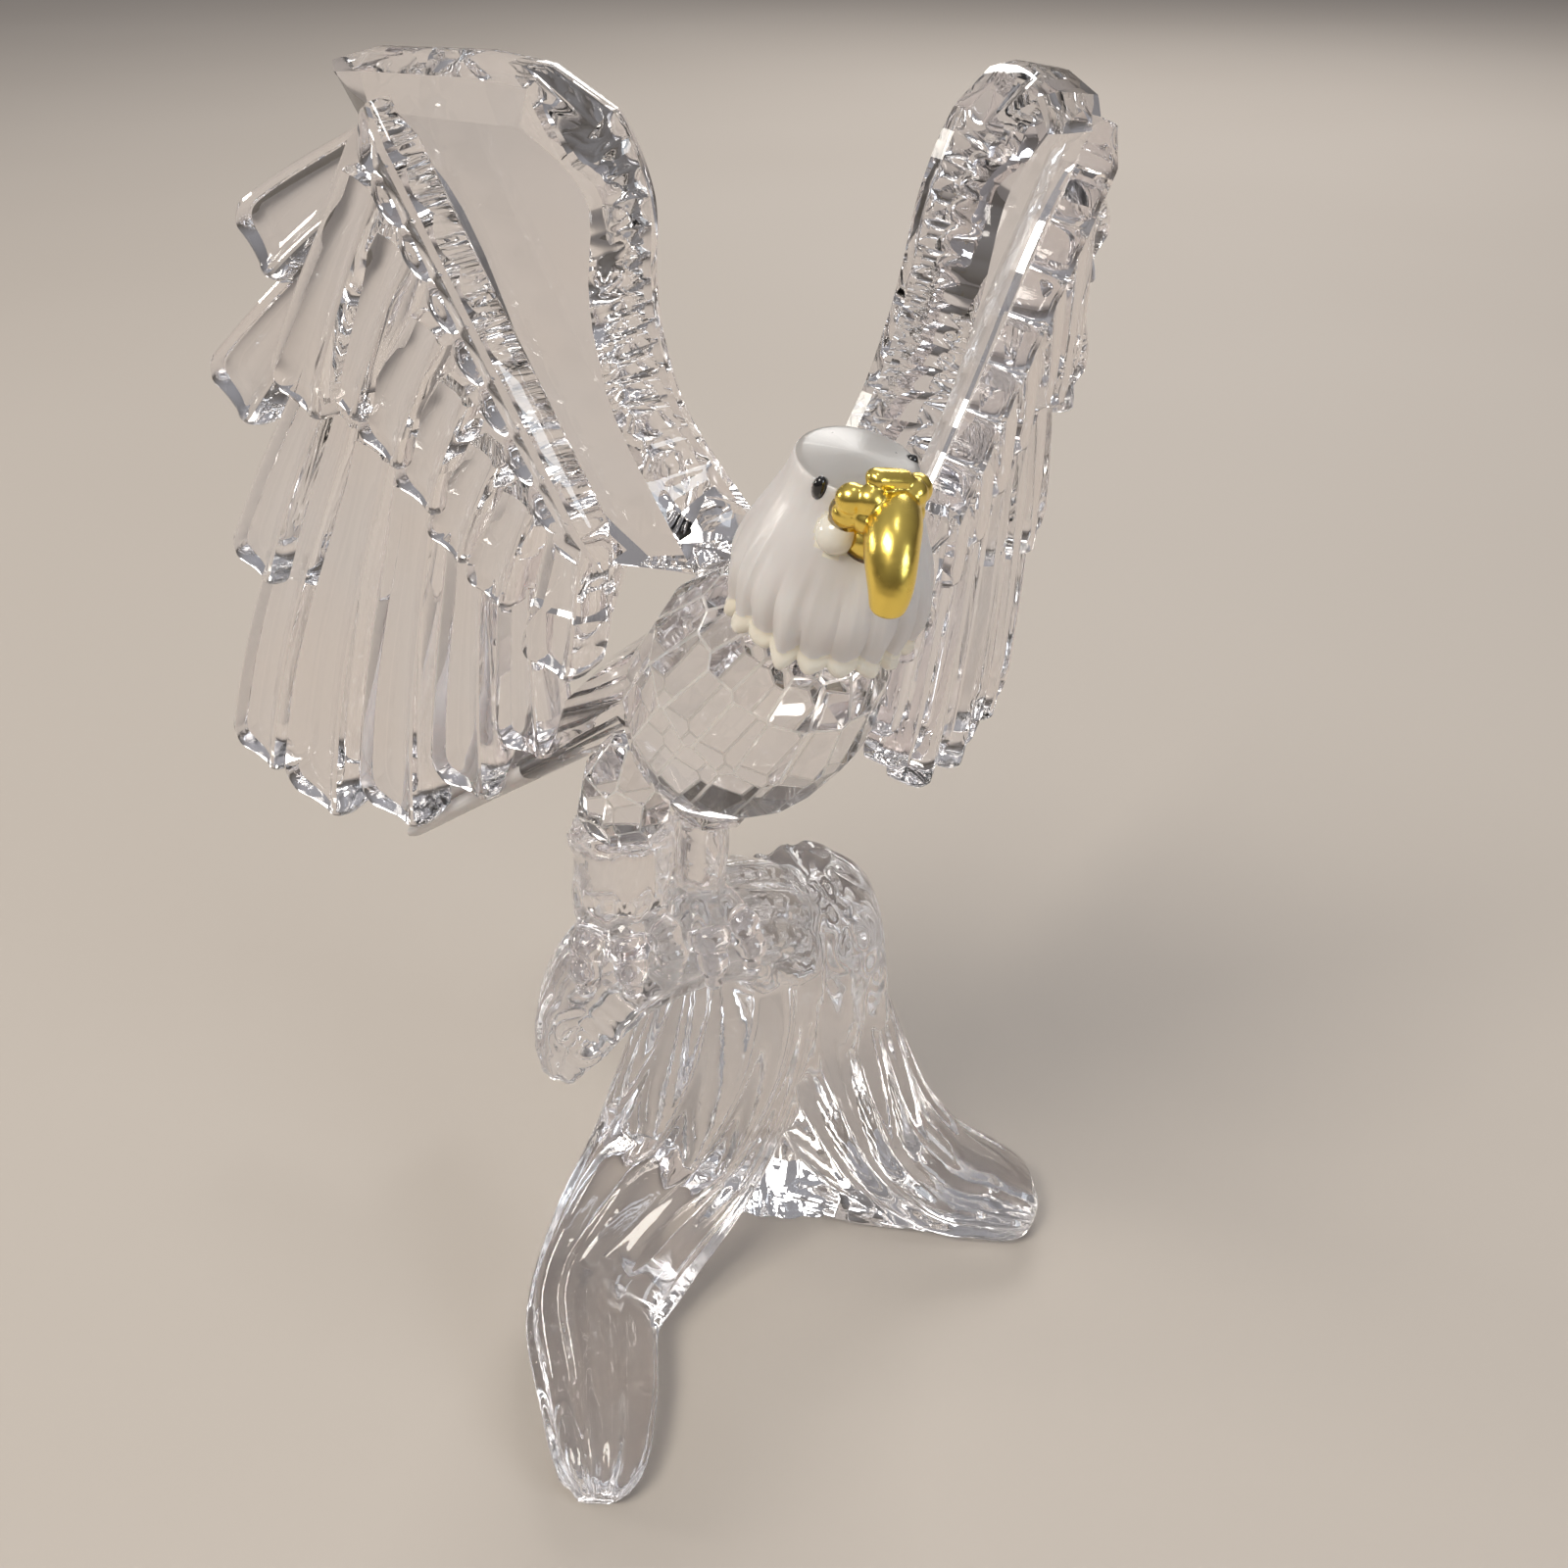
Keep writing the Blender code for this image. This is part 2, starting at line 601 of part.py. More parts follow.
def root_limbs(collection):
    """The limbs of the cast root, each fluted along its grain like driftwood."""
    limbs = [
        ((1, 0, 0), [(-5, 8, 52), (-6, 8.5, 40), (-9.5, 7, 27), (-15, 2.5, 15), (-21.8, -6, 7),
                     (-25.2, -15, 3.6), (-23.4, -27, 3), (-22.2, -36, 2), (-22.2, -39.5, 1)],
         [(8.5, 7), (11, 9), (11.8, 10), (11.4, 10), (10, 9), (8.4, 7.8), (6.9, 6.4), (5, 4.6),
          (2.0, 1.8)]),
        ((0.2, -1, 0), [(-1, 12, 52), (0, 14.5, 42), (3.5, 15, 28), (11, 12.5, 13), (20, 9.5, 5.5),
                        (28.5, 7.2, 3.2), (33, 5, 2.4), (35.5, 4.4, 1.6)],
         [(8, 8), (11, 11.5), (11, 11.5), (10.4, 10), (8.8, 8), (7.6, 6), (5.6, 4.6), (2.4, 2)]),
        ((1, 0.2, 0), [(-2, 14, 48), (-3, 17, 36), (-8, 18, 22), (-14, 20, 10), (-19, 22, 4),
                       (-22, 23, 1.6)],
         [(9, 8), (11, 11), (11, 10), (8.5, 7.5), (6.5, 5.8), (3.4, 2.6)]),
        ((1, 0, 0), [(0, 14, 34), (0, 14.5, 20), (0.5, 15, 8), (1, 15.5, -3)],
         [(9, 7), (11, 8.5), (14, 9.5), (16, 10.5)]),
        ((0.2, -1, 0), [(3, 12.5, 4), (12, 10, 2.6), (20, 8.2, 2.2), (28, 6.5, 2)],
         [(7.6, 5), (7.4, 4), (6.8, 3.4), (5, 3)]),
        ((1, 0, 0), [(0.8, 10.5, 57), (2.2, 11.5, 52.5), (3.5, 12.5, 45), (3.6, 14, 32)],
         [(5.2, 5.2), (8.4, 7.6), (9.6, 8.8), (10.4, 9.6)]),
        ((0.5, -0.8, 0), [(-3, 9, 50), (-6, -2, 60), (-12, -13, 66.5), (-18.5, -19.5, 66.5),
                          (-22.8, -20.5, 59.5), (-25.0, -19.5, 52)],
         [(9, 8), (7.6, 7.0), (6.8, 6.2), (6.0, 5.4), (4.6, 4.2), (1.8, 1.7)]),
    ]
    parts = []
    for index, (side, points, sizes) in enumerate(limbs):
        bm = limb([vec(p) for p in points], [(w * UNIT, h * UNIT) for w, h in sizes], 18, 18,
                  side, flutes=ROOT_FLUTES, depth=ROOT_FLUTE_DEPTH, phase=index)
        parts.append(new_object("limb", bm, collection))
    return parts


def foot_parts(collection):
    """Each shank with three front toes and a back toe, which grip the branch."""
    parts = []
    for (ankle, sole), girth in ((RIGHT_SHANK, 5.4), (LEFT_SHANK, 2.9)):
        top = vec(ankle)
        low = vec(sole)
        path = [top, top + Vector((0, 0, -3 * UNIT)), top.lerp(low, 0.65), low]
        sizes = [(girth * UNIT, girth * 0.95 * UNIT), (girth * 0.94 * UNIT, girth * 0.9 * UNIT),
                 (girth * 0.86 * UNIT, girth * 0.86 * UNIT), (3.0 * UNIT, 3.0 * UNIT)]
        bm = limb(path, sizes, 14, 7, (1, 0, 0), flutes=SHANK_FLUTES, depth=SHANK_FLUTE_DEPTH)
        parts.append(new_object("shank", bm, collection))
        for spread in (-50, -12, 26, 175):
            angle = math.radians(spread - 62)
            out = Vector((math.cos(angle), math.sin(angle), 0))
            ball = low + Vector((0, 0, 3.4 * UNIT))
            toe = [ball - out * 0.8 * UNIT, ball + out * 4.6 * UNIT + Vector((0, 0, -0.4 * UNIT)),
                   ball + out * 7.2 * UNIT + Vector((0, 0, -3.2 * UNIT)),
                   ball + out * 7.4 * UNIT + Vector((0, 0, -6.6 * UNIT))]
            sizes = [(2.4 * UNIT, 2.3 * UNIT), (2.2 * UNIT, 2.0 * UNIT), (1.8 * UNIT, 1.7 * UNIT),
                     (0.8 * UNIT, 0.7 * UNIT)]
            parts.append(new_object("toe", limb(toe, sizes, 8, 7, (-out.y, out.x, 0)), collection))
    return parts


def floor_block():
    """Everything below the table, so that the base stands flat on it."""
    bm = bmesh.new()
    bmesh.ops.create_cube(bm, size=FIGURE_HEIGHT)
    return place(bm, Vector((0, 0, -FIGURE_HEIGHT / 2)))


def main():
    for obj in list(bpy.data.objects):
        bpy.data.objects.remove(obj)
    parts = bpy.data.collections.new("crystal_eagle_figurine")
    bpy.context.scene.collection.children.link(parts)
    tools = bpy.data.collections.new("cutters")
    tools.hide_render = True
    bpy.context.scene.collection.children.link(tools)

    clear = material("clear_crystal", (0.96, 0.94, 0.94), 0.02, transmission=1.0, ior=1.54)
    frosted = material("frosted_crystal", (0.93, 0.90, 0.89), 0.55, transmission=0.6, ior=1.5)
    gold = material("polished_gold", (0.90, 0.66, 0.12), 0.15, metallic=1.0)
    black = material("black_glass", (0.01, 0.01, 0.01), 0.08)

    new_object("body", body_stone(), parts, clear)
    body_room = new_object("body room", body_stone(GLUE_GAP), tools)
    thigh_rooms = []
    for name, measures in (("thigh_right", RIGHT_THIGH), ("thigh_left", LEFT_THIGH)):
        cut_by(new_object(name, thigh_stone(*measures), parts, clear), [body_room])
        thigh_rooms.append(new_object(name + " room", thigh_stone(*measures, GLUE_GAP), tools))

    new_object("beak", beak_solid(), parts, gold, smooth=True)
    sockets = [new_object("beak room", beak_solid(GLUE_GAP), tools)]
    for name, turn in zip(("eye_right", "eye_left"), EYE_TURNS):
        new_object(name, eye_solid(turn), parts, black, smooth=True)
        sockets.append(new_object(name + " room", eye_solid(turn, GLUE_GAP), tools))
    head = new_object("head", head_solid(), parts, frosted, smooth=True)
    cut_by(head, [body_room] + sockets)
    head_room = new_object("head room", head_solid(2 * GLUE_GAP), tools)

    right_pose = wing_pose(RIGHT_WING_AT, RIGHT_WING_TURN, True)
    left_pose = wing_pose(LEFT_WING_AT, LEFT_WING_TURN, False)
    for name, pose in (("wing_right", right_pose), ("wing_left", left_pose)):
        fused(name, wing_pieces(pose, tools), [body_room, head_room], parts, clear,
              WING_GRAIN, WING_FACETS)

    wing_rooms = [new_object("arm room", wing_room(*ARM_END, -ARM_THICKNESS), tools),
                  new_object("feather room", wing_room(*INNER_FEATHERS, FEATHERS_BACK), tools)]
    for room in wing_rooms:
        to_pose(room, right_pose)
    tail_pieces = [new_object("root block", tail_block(), tools)] + tail_parts(tools)
    fused("tail", tail_pieces, [body_room] + wing_rooms, parts, frosted, CAST_GRAIN, TAIL_FACETS)

    table = new_object("table", floor_block(), tools)
    fused("base", root_limbs(tools) + foot_parts(tools), [table] + thigh_rooms, parts, clear,
          CAST_GRAIN, BASE_FACETS)


main()
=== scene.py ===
"""The looks of the crystal eagle figurine: cut, pressed, cast and frosted crystal, a gilded beak
and glossy black eyes, on a pale floor in soft studio light. Metres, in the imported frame."""

import math

import bmesh
import bpy
import numpy as np
from mathutils import Euler, Matrix, Vector, noise


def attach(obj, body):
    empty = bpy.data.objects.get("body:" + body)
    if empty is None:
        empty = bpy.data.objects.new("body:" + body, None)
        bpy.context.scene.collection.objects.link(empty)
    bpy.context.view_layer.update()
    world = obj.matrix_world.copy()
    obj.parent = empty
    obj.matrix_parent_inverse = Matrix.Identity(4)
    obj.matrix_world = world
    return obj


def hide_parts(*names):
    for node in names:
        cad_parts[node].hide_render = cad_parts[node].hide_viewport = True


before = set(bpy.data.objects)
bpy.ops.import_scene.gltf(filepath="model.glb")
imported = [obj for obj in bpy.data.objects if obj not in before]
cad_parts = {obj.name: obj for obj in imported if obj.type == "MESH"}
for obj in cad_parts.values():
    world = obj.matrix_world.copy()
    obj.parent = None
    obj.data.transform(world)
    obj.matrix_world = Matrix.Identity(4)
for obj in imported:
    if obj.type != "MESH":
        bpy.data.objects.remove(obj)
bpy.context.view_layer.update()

# The figure is measured in units of 1/155 of its height. Its own points are taken before the
# foot of the trunk becomes the origin
UNIT = 0.155 / 155
TRUNK_FOOT = (0.0, 15.0, 0.0)
GLUE_GAP = 0.0003
FLOOR_CLEARANCE = 0.0002
TABLE_SIZE = 0.155

ARM_THICKNESS = 0.0070
ARM_EDGE_LAND = 0.0011
ARM_TIP_DROP = 0.0036
ARM_END_DROP = 0.0030
RIDGE_RISE = 0.0036
WEB_FRONT = -0.0019
FLIGHT_THICKNESS = 0.0030
COVERT_THICKNESS = 0.0030
FLIGHTS_BACK = -0.00535
COVERTS_BACK = -0.0034
FEATHER_STAGGER = 0.00013
FEATHER_RIM_RISE = 0.0012
FEATHER_FLUTE_DEPTH = 0.0009
BEVEL_FLUTE_DEPTH = 0.0008
BEAK_WIDTH = 0.0056
EYE_HEIGHT = 0.0019
EYE_WIDTH = 0.0011
EYE_BULGE = 0.0006
TAIL_LENGTH = 0.0525
TAIL_TIP_THICKNESS = 0.0042
CLEAR_TAIL_ROOT = 0.0235
ROOT_FLUTE_DEPTH = 0.0006
BEVEL_FLUTES = 15
RIDGE_BEADS = 9
NECK_FLUTES = 19

# Meshing: the voxels of the cast pieces, the width of a facet's joint, and the shading angles
BASE_GRAIN = 0.00044
BEAK_GRAIN = 0.00012
BODY_JOINT = 0.00016
THIGH_JOINT = 0.00012
WING_SHADE_ANGLE = 24
TAIL_SHADE_ANGLE = 28
HEAD_SHADE_ANGLE = 40
BASE_SHADE_ANGLE = 50
ROUND_SHADE_ANGLE = 60

BODY_CENTRE = (-2.9, -22.0, 102.6)
BODY_TOP = (3.9, -33.7, 117.4)
BODY_HALF_WIDTH = 11.0
HEAD_HEM = (3.1, -33.4, 115.9)
HEAD_CROWN = (5.8, -36.0, 131.1)
HEAD_TURN = math.radians(30)
EYE_LEVEL = 0.925
# The turn of each eye from the beak, and how far its middle is from the head's axis
EYES = ((math.radians(-66), 4.9), (math.radians(78), 4.5))
GAPE_LEVEL = 0.75
GAPE_TURN = math.radians(41)
GAPE_RADIUS = 1.6
BEAK_PATH = [(7.0, -37.8, 127.7), (8.1, -41.3, 128.2), (7.9, -44.2, 126.8), (7.8, -45.8, 124.4),
             (7.5, -45.8, 122.2)]
RIGHT_WING_AT = (-14.9, -15.9, 112.0)
RIGHT_WING_TURN = (0.0, 0.0, -25.5)
LEFT_WING_AT = (11.4, -13.3, 112.0)
LEFT_WING_TURN = (9.2, 8.5, 61.5)
TAIL_ROOT = (-10.0, -12.4, 99.0)
TAIL_TIP_DIRECTION = (-0.628, 0.470, -0.620)
RIGHT_SHANK = ((-16.0, -21.5, 86.6), (-17.4, -20.5, 73.0))
LEFT_SHANK = ((-8.4, -17.5, 85.5), (-9.4, -15.5, 70.0))
RIGHT_THIGH = ((-15.2, -22.0, 86.6), (0.18, 0.05, 1), 4.4, 5.8)
LEFT_THIGH = ((-6.8, -18.0, 85.5), (0.1, -0.1, 1), 4.4, 5.8)

# Wing features on its own plane: outward, then up from the shoulder
ARM_OUTER = [(31, 41), (26, 42.3), (14, 42.7), (8, 42), (2.2, 38.9), (-0.9, 32.4),
             (-0.8, 25.3), (-1.3, 20), (-3.9, 12.7), (-12.0, 2.4)]
ARM_INNER = [(27.4, 38.8), (22.8, 38.3), (13.0, 38.1), (7.6, 38.1), (3.9, 35.7), (1.4, 32.2),
             (1.9, 25.1), (1.3, 19.4), (-0.7, 13.0), (-8.5, -1.0)]
ARM_BACK = [(26.4, 35.6), (20.6, 34.2), (18.5, 32.0), (17, 29.8), (15.4, 26.6), (13.6, 22),
            (11.8, 17), (9.4, 11.5), (5.6, 4.4), (-0.3, -0.4)]
WEB_OUTER = [(27.5, 35.5), (31.5, 29), (36, 19), (35, 9), (28, 3), (21, -3), (14, -7), (5, -8)]
RIDGE_TOP = (22.3, 38.9)
RIDGE_BOTTOM = (2.2, -0.4)
WRIST_STATION = 4
FLIGHT_FEATHERS = [
    ((24.5, 34.5), (41.1, 23.8), 9.0, -0.6),
    ((27.0, 27.0), (47.6, 8.0), 9.0, -0.8),
    ((34.0, 14.0), (48.6, -11.2), 7.8, -0.8),
    ((33.5, 9.0), (53.7, -36.6), 8.8, -2.6),
    ((30.0, 6.0), (45.7, -40.8), 10.8, -2.4),
    ((24.7, 2.0), (34.1, -39.2), 10.6, -1.6),
    ((19.0, -2.0), (23.2, -32.6), 9.6, -0.8),
    ((13.6, -5.0), (14.4, -25.2), 8.0, -0.2),
]
COVERTS = [
    ((24.5, 32.0), (37.0, 9.8), 8.4, -0.8),
    ((21.5, 27.0), (31.8, 10.6), 8.2, -0.6),
    ((19.0, 20.0), (27.4, 6.4), 7.6, -0.5),
    ((16.8, 14.5), (23.6, 2.2), 7.2, -0.4),
    ((14.0, 9.0), (20.6, -2.4), 6.8, -0.3),
    ((10.5, 5.0), (16.2, -6.4), 7.0, -0.2),
    ((5.0, 2.5), (9.6, -13.2), 8.4, 0.6),
]
FEATHER_ROOT_SHARE = 0.62
TIP_CORNER = 0.34

# Knots in the cast wood: middle, reach, pitch of the rings, and depth in metres
KNOTS = [((-21.5, -25.5, 61.5), 4.6, 2.1, 0.00040), ((9.5, 4.5, 50.0), 4.6, 3.2, 0.00045),
         ((4.5, 6.0, 58.0), 3.2, 2.8, 0.0004), ((13.5, 8.0, 42.0), 3.6, 3.4, 0.0004)]


# Shared modelling helpers

def vec(point):
    return (Vector(point) - Vector(TRUNK_FOOT)) * UNIT


def lerp(a, b, t):
    return a + (b - a) * t


def clamp(value, low=0.0, high=1.0):
    return min(max(value, low), high)


def smooth_step(low, high, value):
    t = clamp((value - low) / (high - low))
    return t * t * (3 - 2 * t)


def along(points, t):
    """A point on the polyline, with t from 0 to 1 spread evenly over its corners."""
    place = clamp(t) * (len(points) - 1)
    index = min(int(place), len(points) - 2)
    return Vector(points[index]).lerp(Vector(points[index + 1]), place - index)


def curve_at(points, place):
    """The Catmull-Rom curve through the points, at a place counted in points."""
    index = min(max(int(place), 0), len(points) - 2)
    t = place - index
    b = Vector(points[index])
    c = Vector(points[index + 1])
    a = Vector(points[index - 1]) if index > 0 else b * 2 - c
    d = Vector(points[index + 2]) if index + 2 < len(points) else c * 2 - b
    return 0.5 * ((2 * b) + (c - a) * t + (2 * a - 5 * b + 4 * c - d) * t * t
                  + (3 * b - a - 3 * c + d) * t ** 3)


def smooth_path(points, count):
    return [curve_at(points, i / (count - 1) * (len(points) - 1)) for i in range(count)]


def new_object(name, bm):
    bmesh.ops.recalc_face_normals(bm, faces=bm.faces)
    mesh = bpy.data.meshes.new(name)
    bm.to_mesh(mesh)
    bm.free()
    obj = bpy.data.objects.new(name, mesh)
    bpy.context.scene.collection.objects.link(obj)
    return obj


def loft(sections):
    """A closed solid through sections with the same number of corners."""
    bm = bmesh.new()
    rings = [[bm.verts.new(p) for p in section] for section in sections]
    count = len(rings[0])
    for low, high in zip(rings, rings[1:]):
        for i in range(count):
            j = (i + 1) % count
            bm.faces.new((low[i], low[j], high[j], high[i]))
    bm.faces.new(rings[0][::-1])
    bm.faces.new(rings[-1])
    return bm


def limb(points, sizes, corners, rings, side_hint, ripple=None, end_round=0.0):
    """A tube along a smooth path. Its half size along the side hint and across it follow sizes.

    The ripple gives how far a point stands out, from its angle and its share of the length."""
    path = smooth_path(points, rings)
    spread = [(w, h, 0) for w, h in sizes]
    sections = []
    for i, centre in enumerate(path):
        share = i / (rings - 1)
        ahead = (path[min(i + 1, rings - 1)] - path[max(i - 1, 0)]).normalized()
        side = Vector(side_hint)
        side = (side - ahead * side.dot(ahead)).normalized()
        top = ahead.cross(side)
        half_width, half_height = curve_at(spread, share * (len(sizes) - 1)).xy
        if end_round and share > 1 - end_round:
            rounding = math.sqrt(max(0.0, 1 - ((share - 1 + end_round) / end_round) ** 2))
            half_width *= max(rounding, 0.05)
            half_height *= max(rounding, 0.05)
        section = []
        for k in range(corners):
            angle = math.tau * k / corners
            stand = ripple(angle, share) if ripple else 0.0
            offset = side * (half_width * math.cos(angle)) + top * (half_height * math.sin(angle))
            section.append(centre + offset * (1 + stand / max(half_width, half_height)))
        sections.append(section)
    return loft(sections)


def keep_result(obj):
    """Turns what the object's modifiers make into its own mesh."""
    graph = bpy.context.evaluated_depsgraph_get()
    mesh = bpy.data.meshes.new_from_object(obj.evaluated_get(graph), depsgraph=graph)
    mesh.name = obj.name
    obj.modifiers.clear()
    obj.data = mesh


def combine(target, others, operation, keep=False):
    """Joins the others to the target, or takes their shapes off it."""
    for other in others:
        modifier = target.modifiers.new("combine", "BOOLEAN")
        modifier.operation = operation
        modifier.object = other
        modifier.solver = "MANIFOLD"
        keep_result(target)
        if not keep:
            bpy.data.objects.remove(other)
    return target


def voxel_cast(name, pieces, grain, smooth_rounds):
    """One soft cast solid from overlapping pieces."""
    bm = bmesh.new()
    for piece in pieces:
        bm.from_mesh(piece.data)
        bpy.data.objects.remove(piece)
    mesh = bpy.data.meshes.new(name)
    bm.to_mesh(mesh)
    bm.free()
    obj = bpy.data.objects.new(name, mesh)
    bpy.context.scene.collection.objects.link(obj)
    remesh = obj.modifiers.new("cast", "REMESH")
    remesh.mode = "VOXEL"
    remesh.voxel_size = grain
    soft = obj.modifiers.new("soft", "SMOOTH")
    soft.factor = 0.5
    soft.iterations = smooth_rounds
    keep_result(obj)
    return obj


def shade(obj, sharp_angle):
    obj.data.shade_smooth()
    obj.data.set_sharp_from_angle(angle=math.radians(sharp_angle))


def displace(obj, offset):
    """Moves each vertex along its normal by what offset(point, normal) gives, in metres."""
    count = len(obj.data.vertices)
    coords = np.zeros(count * 3, np.float32)
    normals = np.zeros(count * 3, np.float32)
    obj.data.vertices.foreach_get("co", coords)
    obj.data.vertices.foreach_get("normal", normals)
    coords = coords.reshape(-1, 3)
    normals = normals.reshape(-1, 3)
    moves = np.array([offset(Vector(p), Vector(n)) for p, n in zip(coords, normals)], np.float32)
    coords = coords + normals * moves[:, None]
    obj.data.vertices.foreach_set("co", coords.reshape(-1))
    obj.data.update()


def piece(obj, node, slot, *materials):
    """Hands a finished piece to the frame, in place of its solid, with each face's finish."""
    finishes = [face.material_index for face in obj.data.polygons]
    obj.data.materials.clear()
    for mat in materials:
        obj.data.materials.append(mat)
    obj.data.polygons.foreach_set("material_index", finishes)
    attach(obj, "root")
    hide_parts(node)


# Cut stones

def hull(points, weld):
    bm = bmesh.new()
    for point in points:
        bm.verts.new(point)
    bmesh.ops.remove_doubles(bm, verts=bm.verts, dist=weld)
    made = bmesh.ops.convex_hull(bm, input=bm.verts)
    loose = {v for v in made["geom_interior"] + made["geom_unused"]
             if isinstance(v, bmesh.types.BMVert)}
    bmesh.ops.delete(bm, geom=list(loose), context="VERTS")
    return bm


def cut_stone(directions, support):
    """A cut stone: the solid within the facet planes, whose distances the support gives."""
    duals = {}
    for direction in directions:
        normal = Vector(direction).normalized()
        distance = support(normal)
        duals[(normal * (UNIT / distance)).to_tuple(9)] = (normal, distance)
    dual_hull = hull(duals, 1e-9)
    keys = {v.index: duals[min(duals, key=lambda k: (Vector(k) - v.co).length)]
            for v in dual_hull.verts}
    corners = []
    for face in dual_hull.faces:
        planes = [keys[v.index] for v in face.verts]
        rows = Matrix([normal for normal, _ in planes])
        corners.append(rows.inverted() @ Vector([distance for _, distance in planes]))
    dual_hull.free()
    bm = hull(corners, 0.01 * UNIT)
    bmesh.ops.dissolve_limit(bm, angle_limit=math.radians(0.5), verts=bm.verts, edges=bm.edges)
    return bm


def facet_rows(rows, axis, phase=0.5):
    """Facet directions in rows round an axis. Each row is (angle from the axis, count)."""
    turn = Vector((0, 0, 1)).rotation_difference(Vector(axis).normalized())
    result = []
    for index, (angle, count) in enumerate(rows):
        polar = math.radians(angle)
        for k in range(count):
            azimuth = math.tau * (k + phase * (index % 2)) / count
            spoke = Vector((math.sin(polar) * math.cos(azimuth),
                            math.sin(polar) * math.sin(azimuth), math.cos(polar)))
            result.append(turn @ spoke)
    return result


def egg_support(axis, half_length, half_width, taper=0.0):
    axis = Vector(axis).normalized()

    def support(normal):
        up = normal.dot(axis)
        across = math.sqrt(max(0.0, 1 - up * up))
        return math.hypot(half_length * up, half_width * (1 - taper * up) * across)
    return support


def moved(bm, centre):
    bmesh.ops.translate(bm, vec=centre, verts=bm.verts)
    return bm


def body_stone(grow=0.0):
    centre = vec(BODY_CENTRE)
    axis = vec(BODY_TOP) - centre
    rows = [(0, 1), (22, 7), (40, 11), (57, 14), (74, 16), (90, 17), (106, 16), (123, 14),
            (140, 10), (159, 6), (180, 1)]
    egg = egg_support(axis, axis.length * 0.98, BODY_HALF_WIDTH * UNIT, taper=0.06)
    return moved(cut_stone(facet_rows(rows, axis), lambda n: egg(n) + grow), centre)


def thigh_stone(foot, lean, half_width, half_height, grow=0.0):
    centre = vec(foot) + Vector((0, 0, half_height * 0.92 * UNIT))
    axis = Vector(lean)
    rows = [(28, 5), (62, 7), (88, 8), (118, 7)]
    egg = egg_support(axis, half_height * UNIT, half_width * UNIT, taper=0.38)
    directions = facet_rows(rows, axis) + [Vector((0, 0, -1)), axis]
    flat = half_height * 0.92 * UNIT - GLUE_GAP

    def support(normal):
        return (flat if normal.z < -0.999 else egg(normal)) + grow
    return moved(cut_stone(directions, support), centre)


def bevels_with_painted_highlight(bm, width):
    """Takes the knife edge off each facet joint and gives the bevel the stone's second finish, a
    whitish frosted glass that paints a bright highlight line along each joint.
    """
    made = bmesh.ops.bevel(bm, geom=list(bm.edges), offset=width, offset_type="OFFSET", segments=2,
                           profile=0.5, affect="EDGES", clamp_overlap=True)
    for face in made["faces"]:
        # The bevel faces take the whitish finish that paints the edge highlights
        face.material_index = 1
    return bm


# Wings

def wing_point(u, v, depth):
    return Vector((u * UNIT, -depth, v * UNIT))


def arm_solid():
    """The slab along the leading edge: a flat face, facets round the wrist, and a fluted bevel."""
    last = len(ARM_OUTER) - 1
    samples = 12
    per_index = samples * BEVEL_FLUTES // (last - WRIST_STATION) + 1
    stations = [0, 1, 2, 3]
    stations += [WRIST_STATION + k / per_index for k in range(per_index * (last - WRIST_STATION))]
    stations.append(last)
    back = -ARM_THICKNESS
    end_facet = 0.14
    steps = 12
    sections = []
    for station in stations:
        hand = station < WRIST_STATION
        pick = along if hand else None
        points = []
        for line in (ARM_OUTER, ARM_INNER, ARM_BACK):
            flat = [(*p, 0) for p in line]
            points.append(pick(flat, station / last) if hand else curve_at(flat, station))
        outer, inner, tail = points
        face = -ARM_END_DROP * clamp((station - last) / end_facet + 1)
        if station == 0:
            face = -ARM_TIP_DROP
        wave = max(0.0, station - WRIST_STATION) / (last - WRIST_STATION) * BEVEL_FLUTES
        flute = BEVEL_FLUTE_DEPTH * abs(math.sin(math.pi * wave))
        # Shallow round the wrist, and again at the arm's lower end
        flute *= lerp(0.3, 1.0, smooth_step(WRIST_STATION + 0.5, WRIST_STATION + 2.5, station))
        flute *= lerp(1.0, 0.35, smooth_step(last - 1.2, last - 0.2, station))
        section = [wing_point(tail.x, tail.y, back), wing_point(outer.x, outer.y, back)]
        inward = (inner - outer).normalized()
        for k in range(steps + 1):
            t = k / steps
            scoop = 0.0
            level = t
            if hand:
                # A steep facet along the top, then a flatter one down to the face
                level = t / 0.34 * 0.66 if t < 0.34 else lerp(0.66, 1.0, (t - 0.34) / 0.66)
            else:
                # Each scoop starts round, inside the rim, and runs out before the face's edge,
                # sooner towards the wrist
                start = clamp(t / 0.25)
                out = lerp(0.62, 1.05, smooth_step(WRIST_STATION + 1, last - 1, station))
                fade = lerp(1.0, 0.1, smooth_step(out - 0.4, out, t))
                scoop = flute * math.sqrt(1 - (1 - start) ** 2) * fade
            spot = outer.lerp(inner, t) + inward * (scoop * 0.9 / UNIT)
            depth = lerp(back + ARM_EDGE_LAND, face, level) - scoop * 0.4 * (1 - t)
            section.append(wing_point(spot.x, spot.y, depth))
        section.append(wing_point(tail.x, tail.y, face))
        sections.append(section)
    return loft(sections)


def web_solid():
    """The plate behind the coverts, which joins every feather to the ridge."""
    sections = []
    count = 40
    for i in range(count):
        share = i / (count - 1)
        inner = along([(*RIDGE_TOP, 0), (*RIDGE_BOTTOM, 0)], share)
        outer = curve_at([(*p, 0) for p in WEB_OUTER], share * (len(WEB_OUTER) - 1))
        sections.append([
            wing_point(inner.x, inner.y, FLIGHTS_BACK), wing_point(inner.x, inner.y, WEB_FRONT),
            wing_point(outer.x, outer.y, WEB_FRONT - 0.0006),
            wing_point(outer.x, outer.y, FLIGHTS_BACK),
        ])
    return loft(sections)


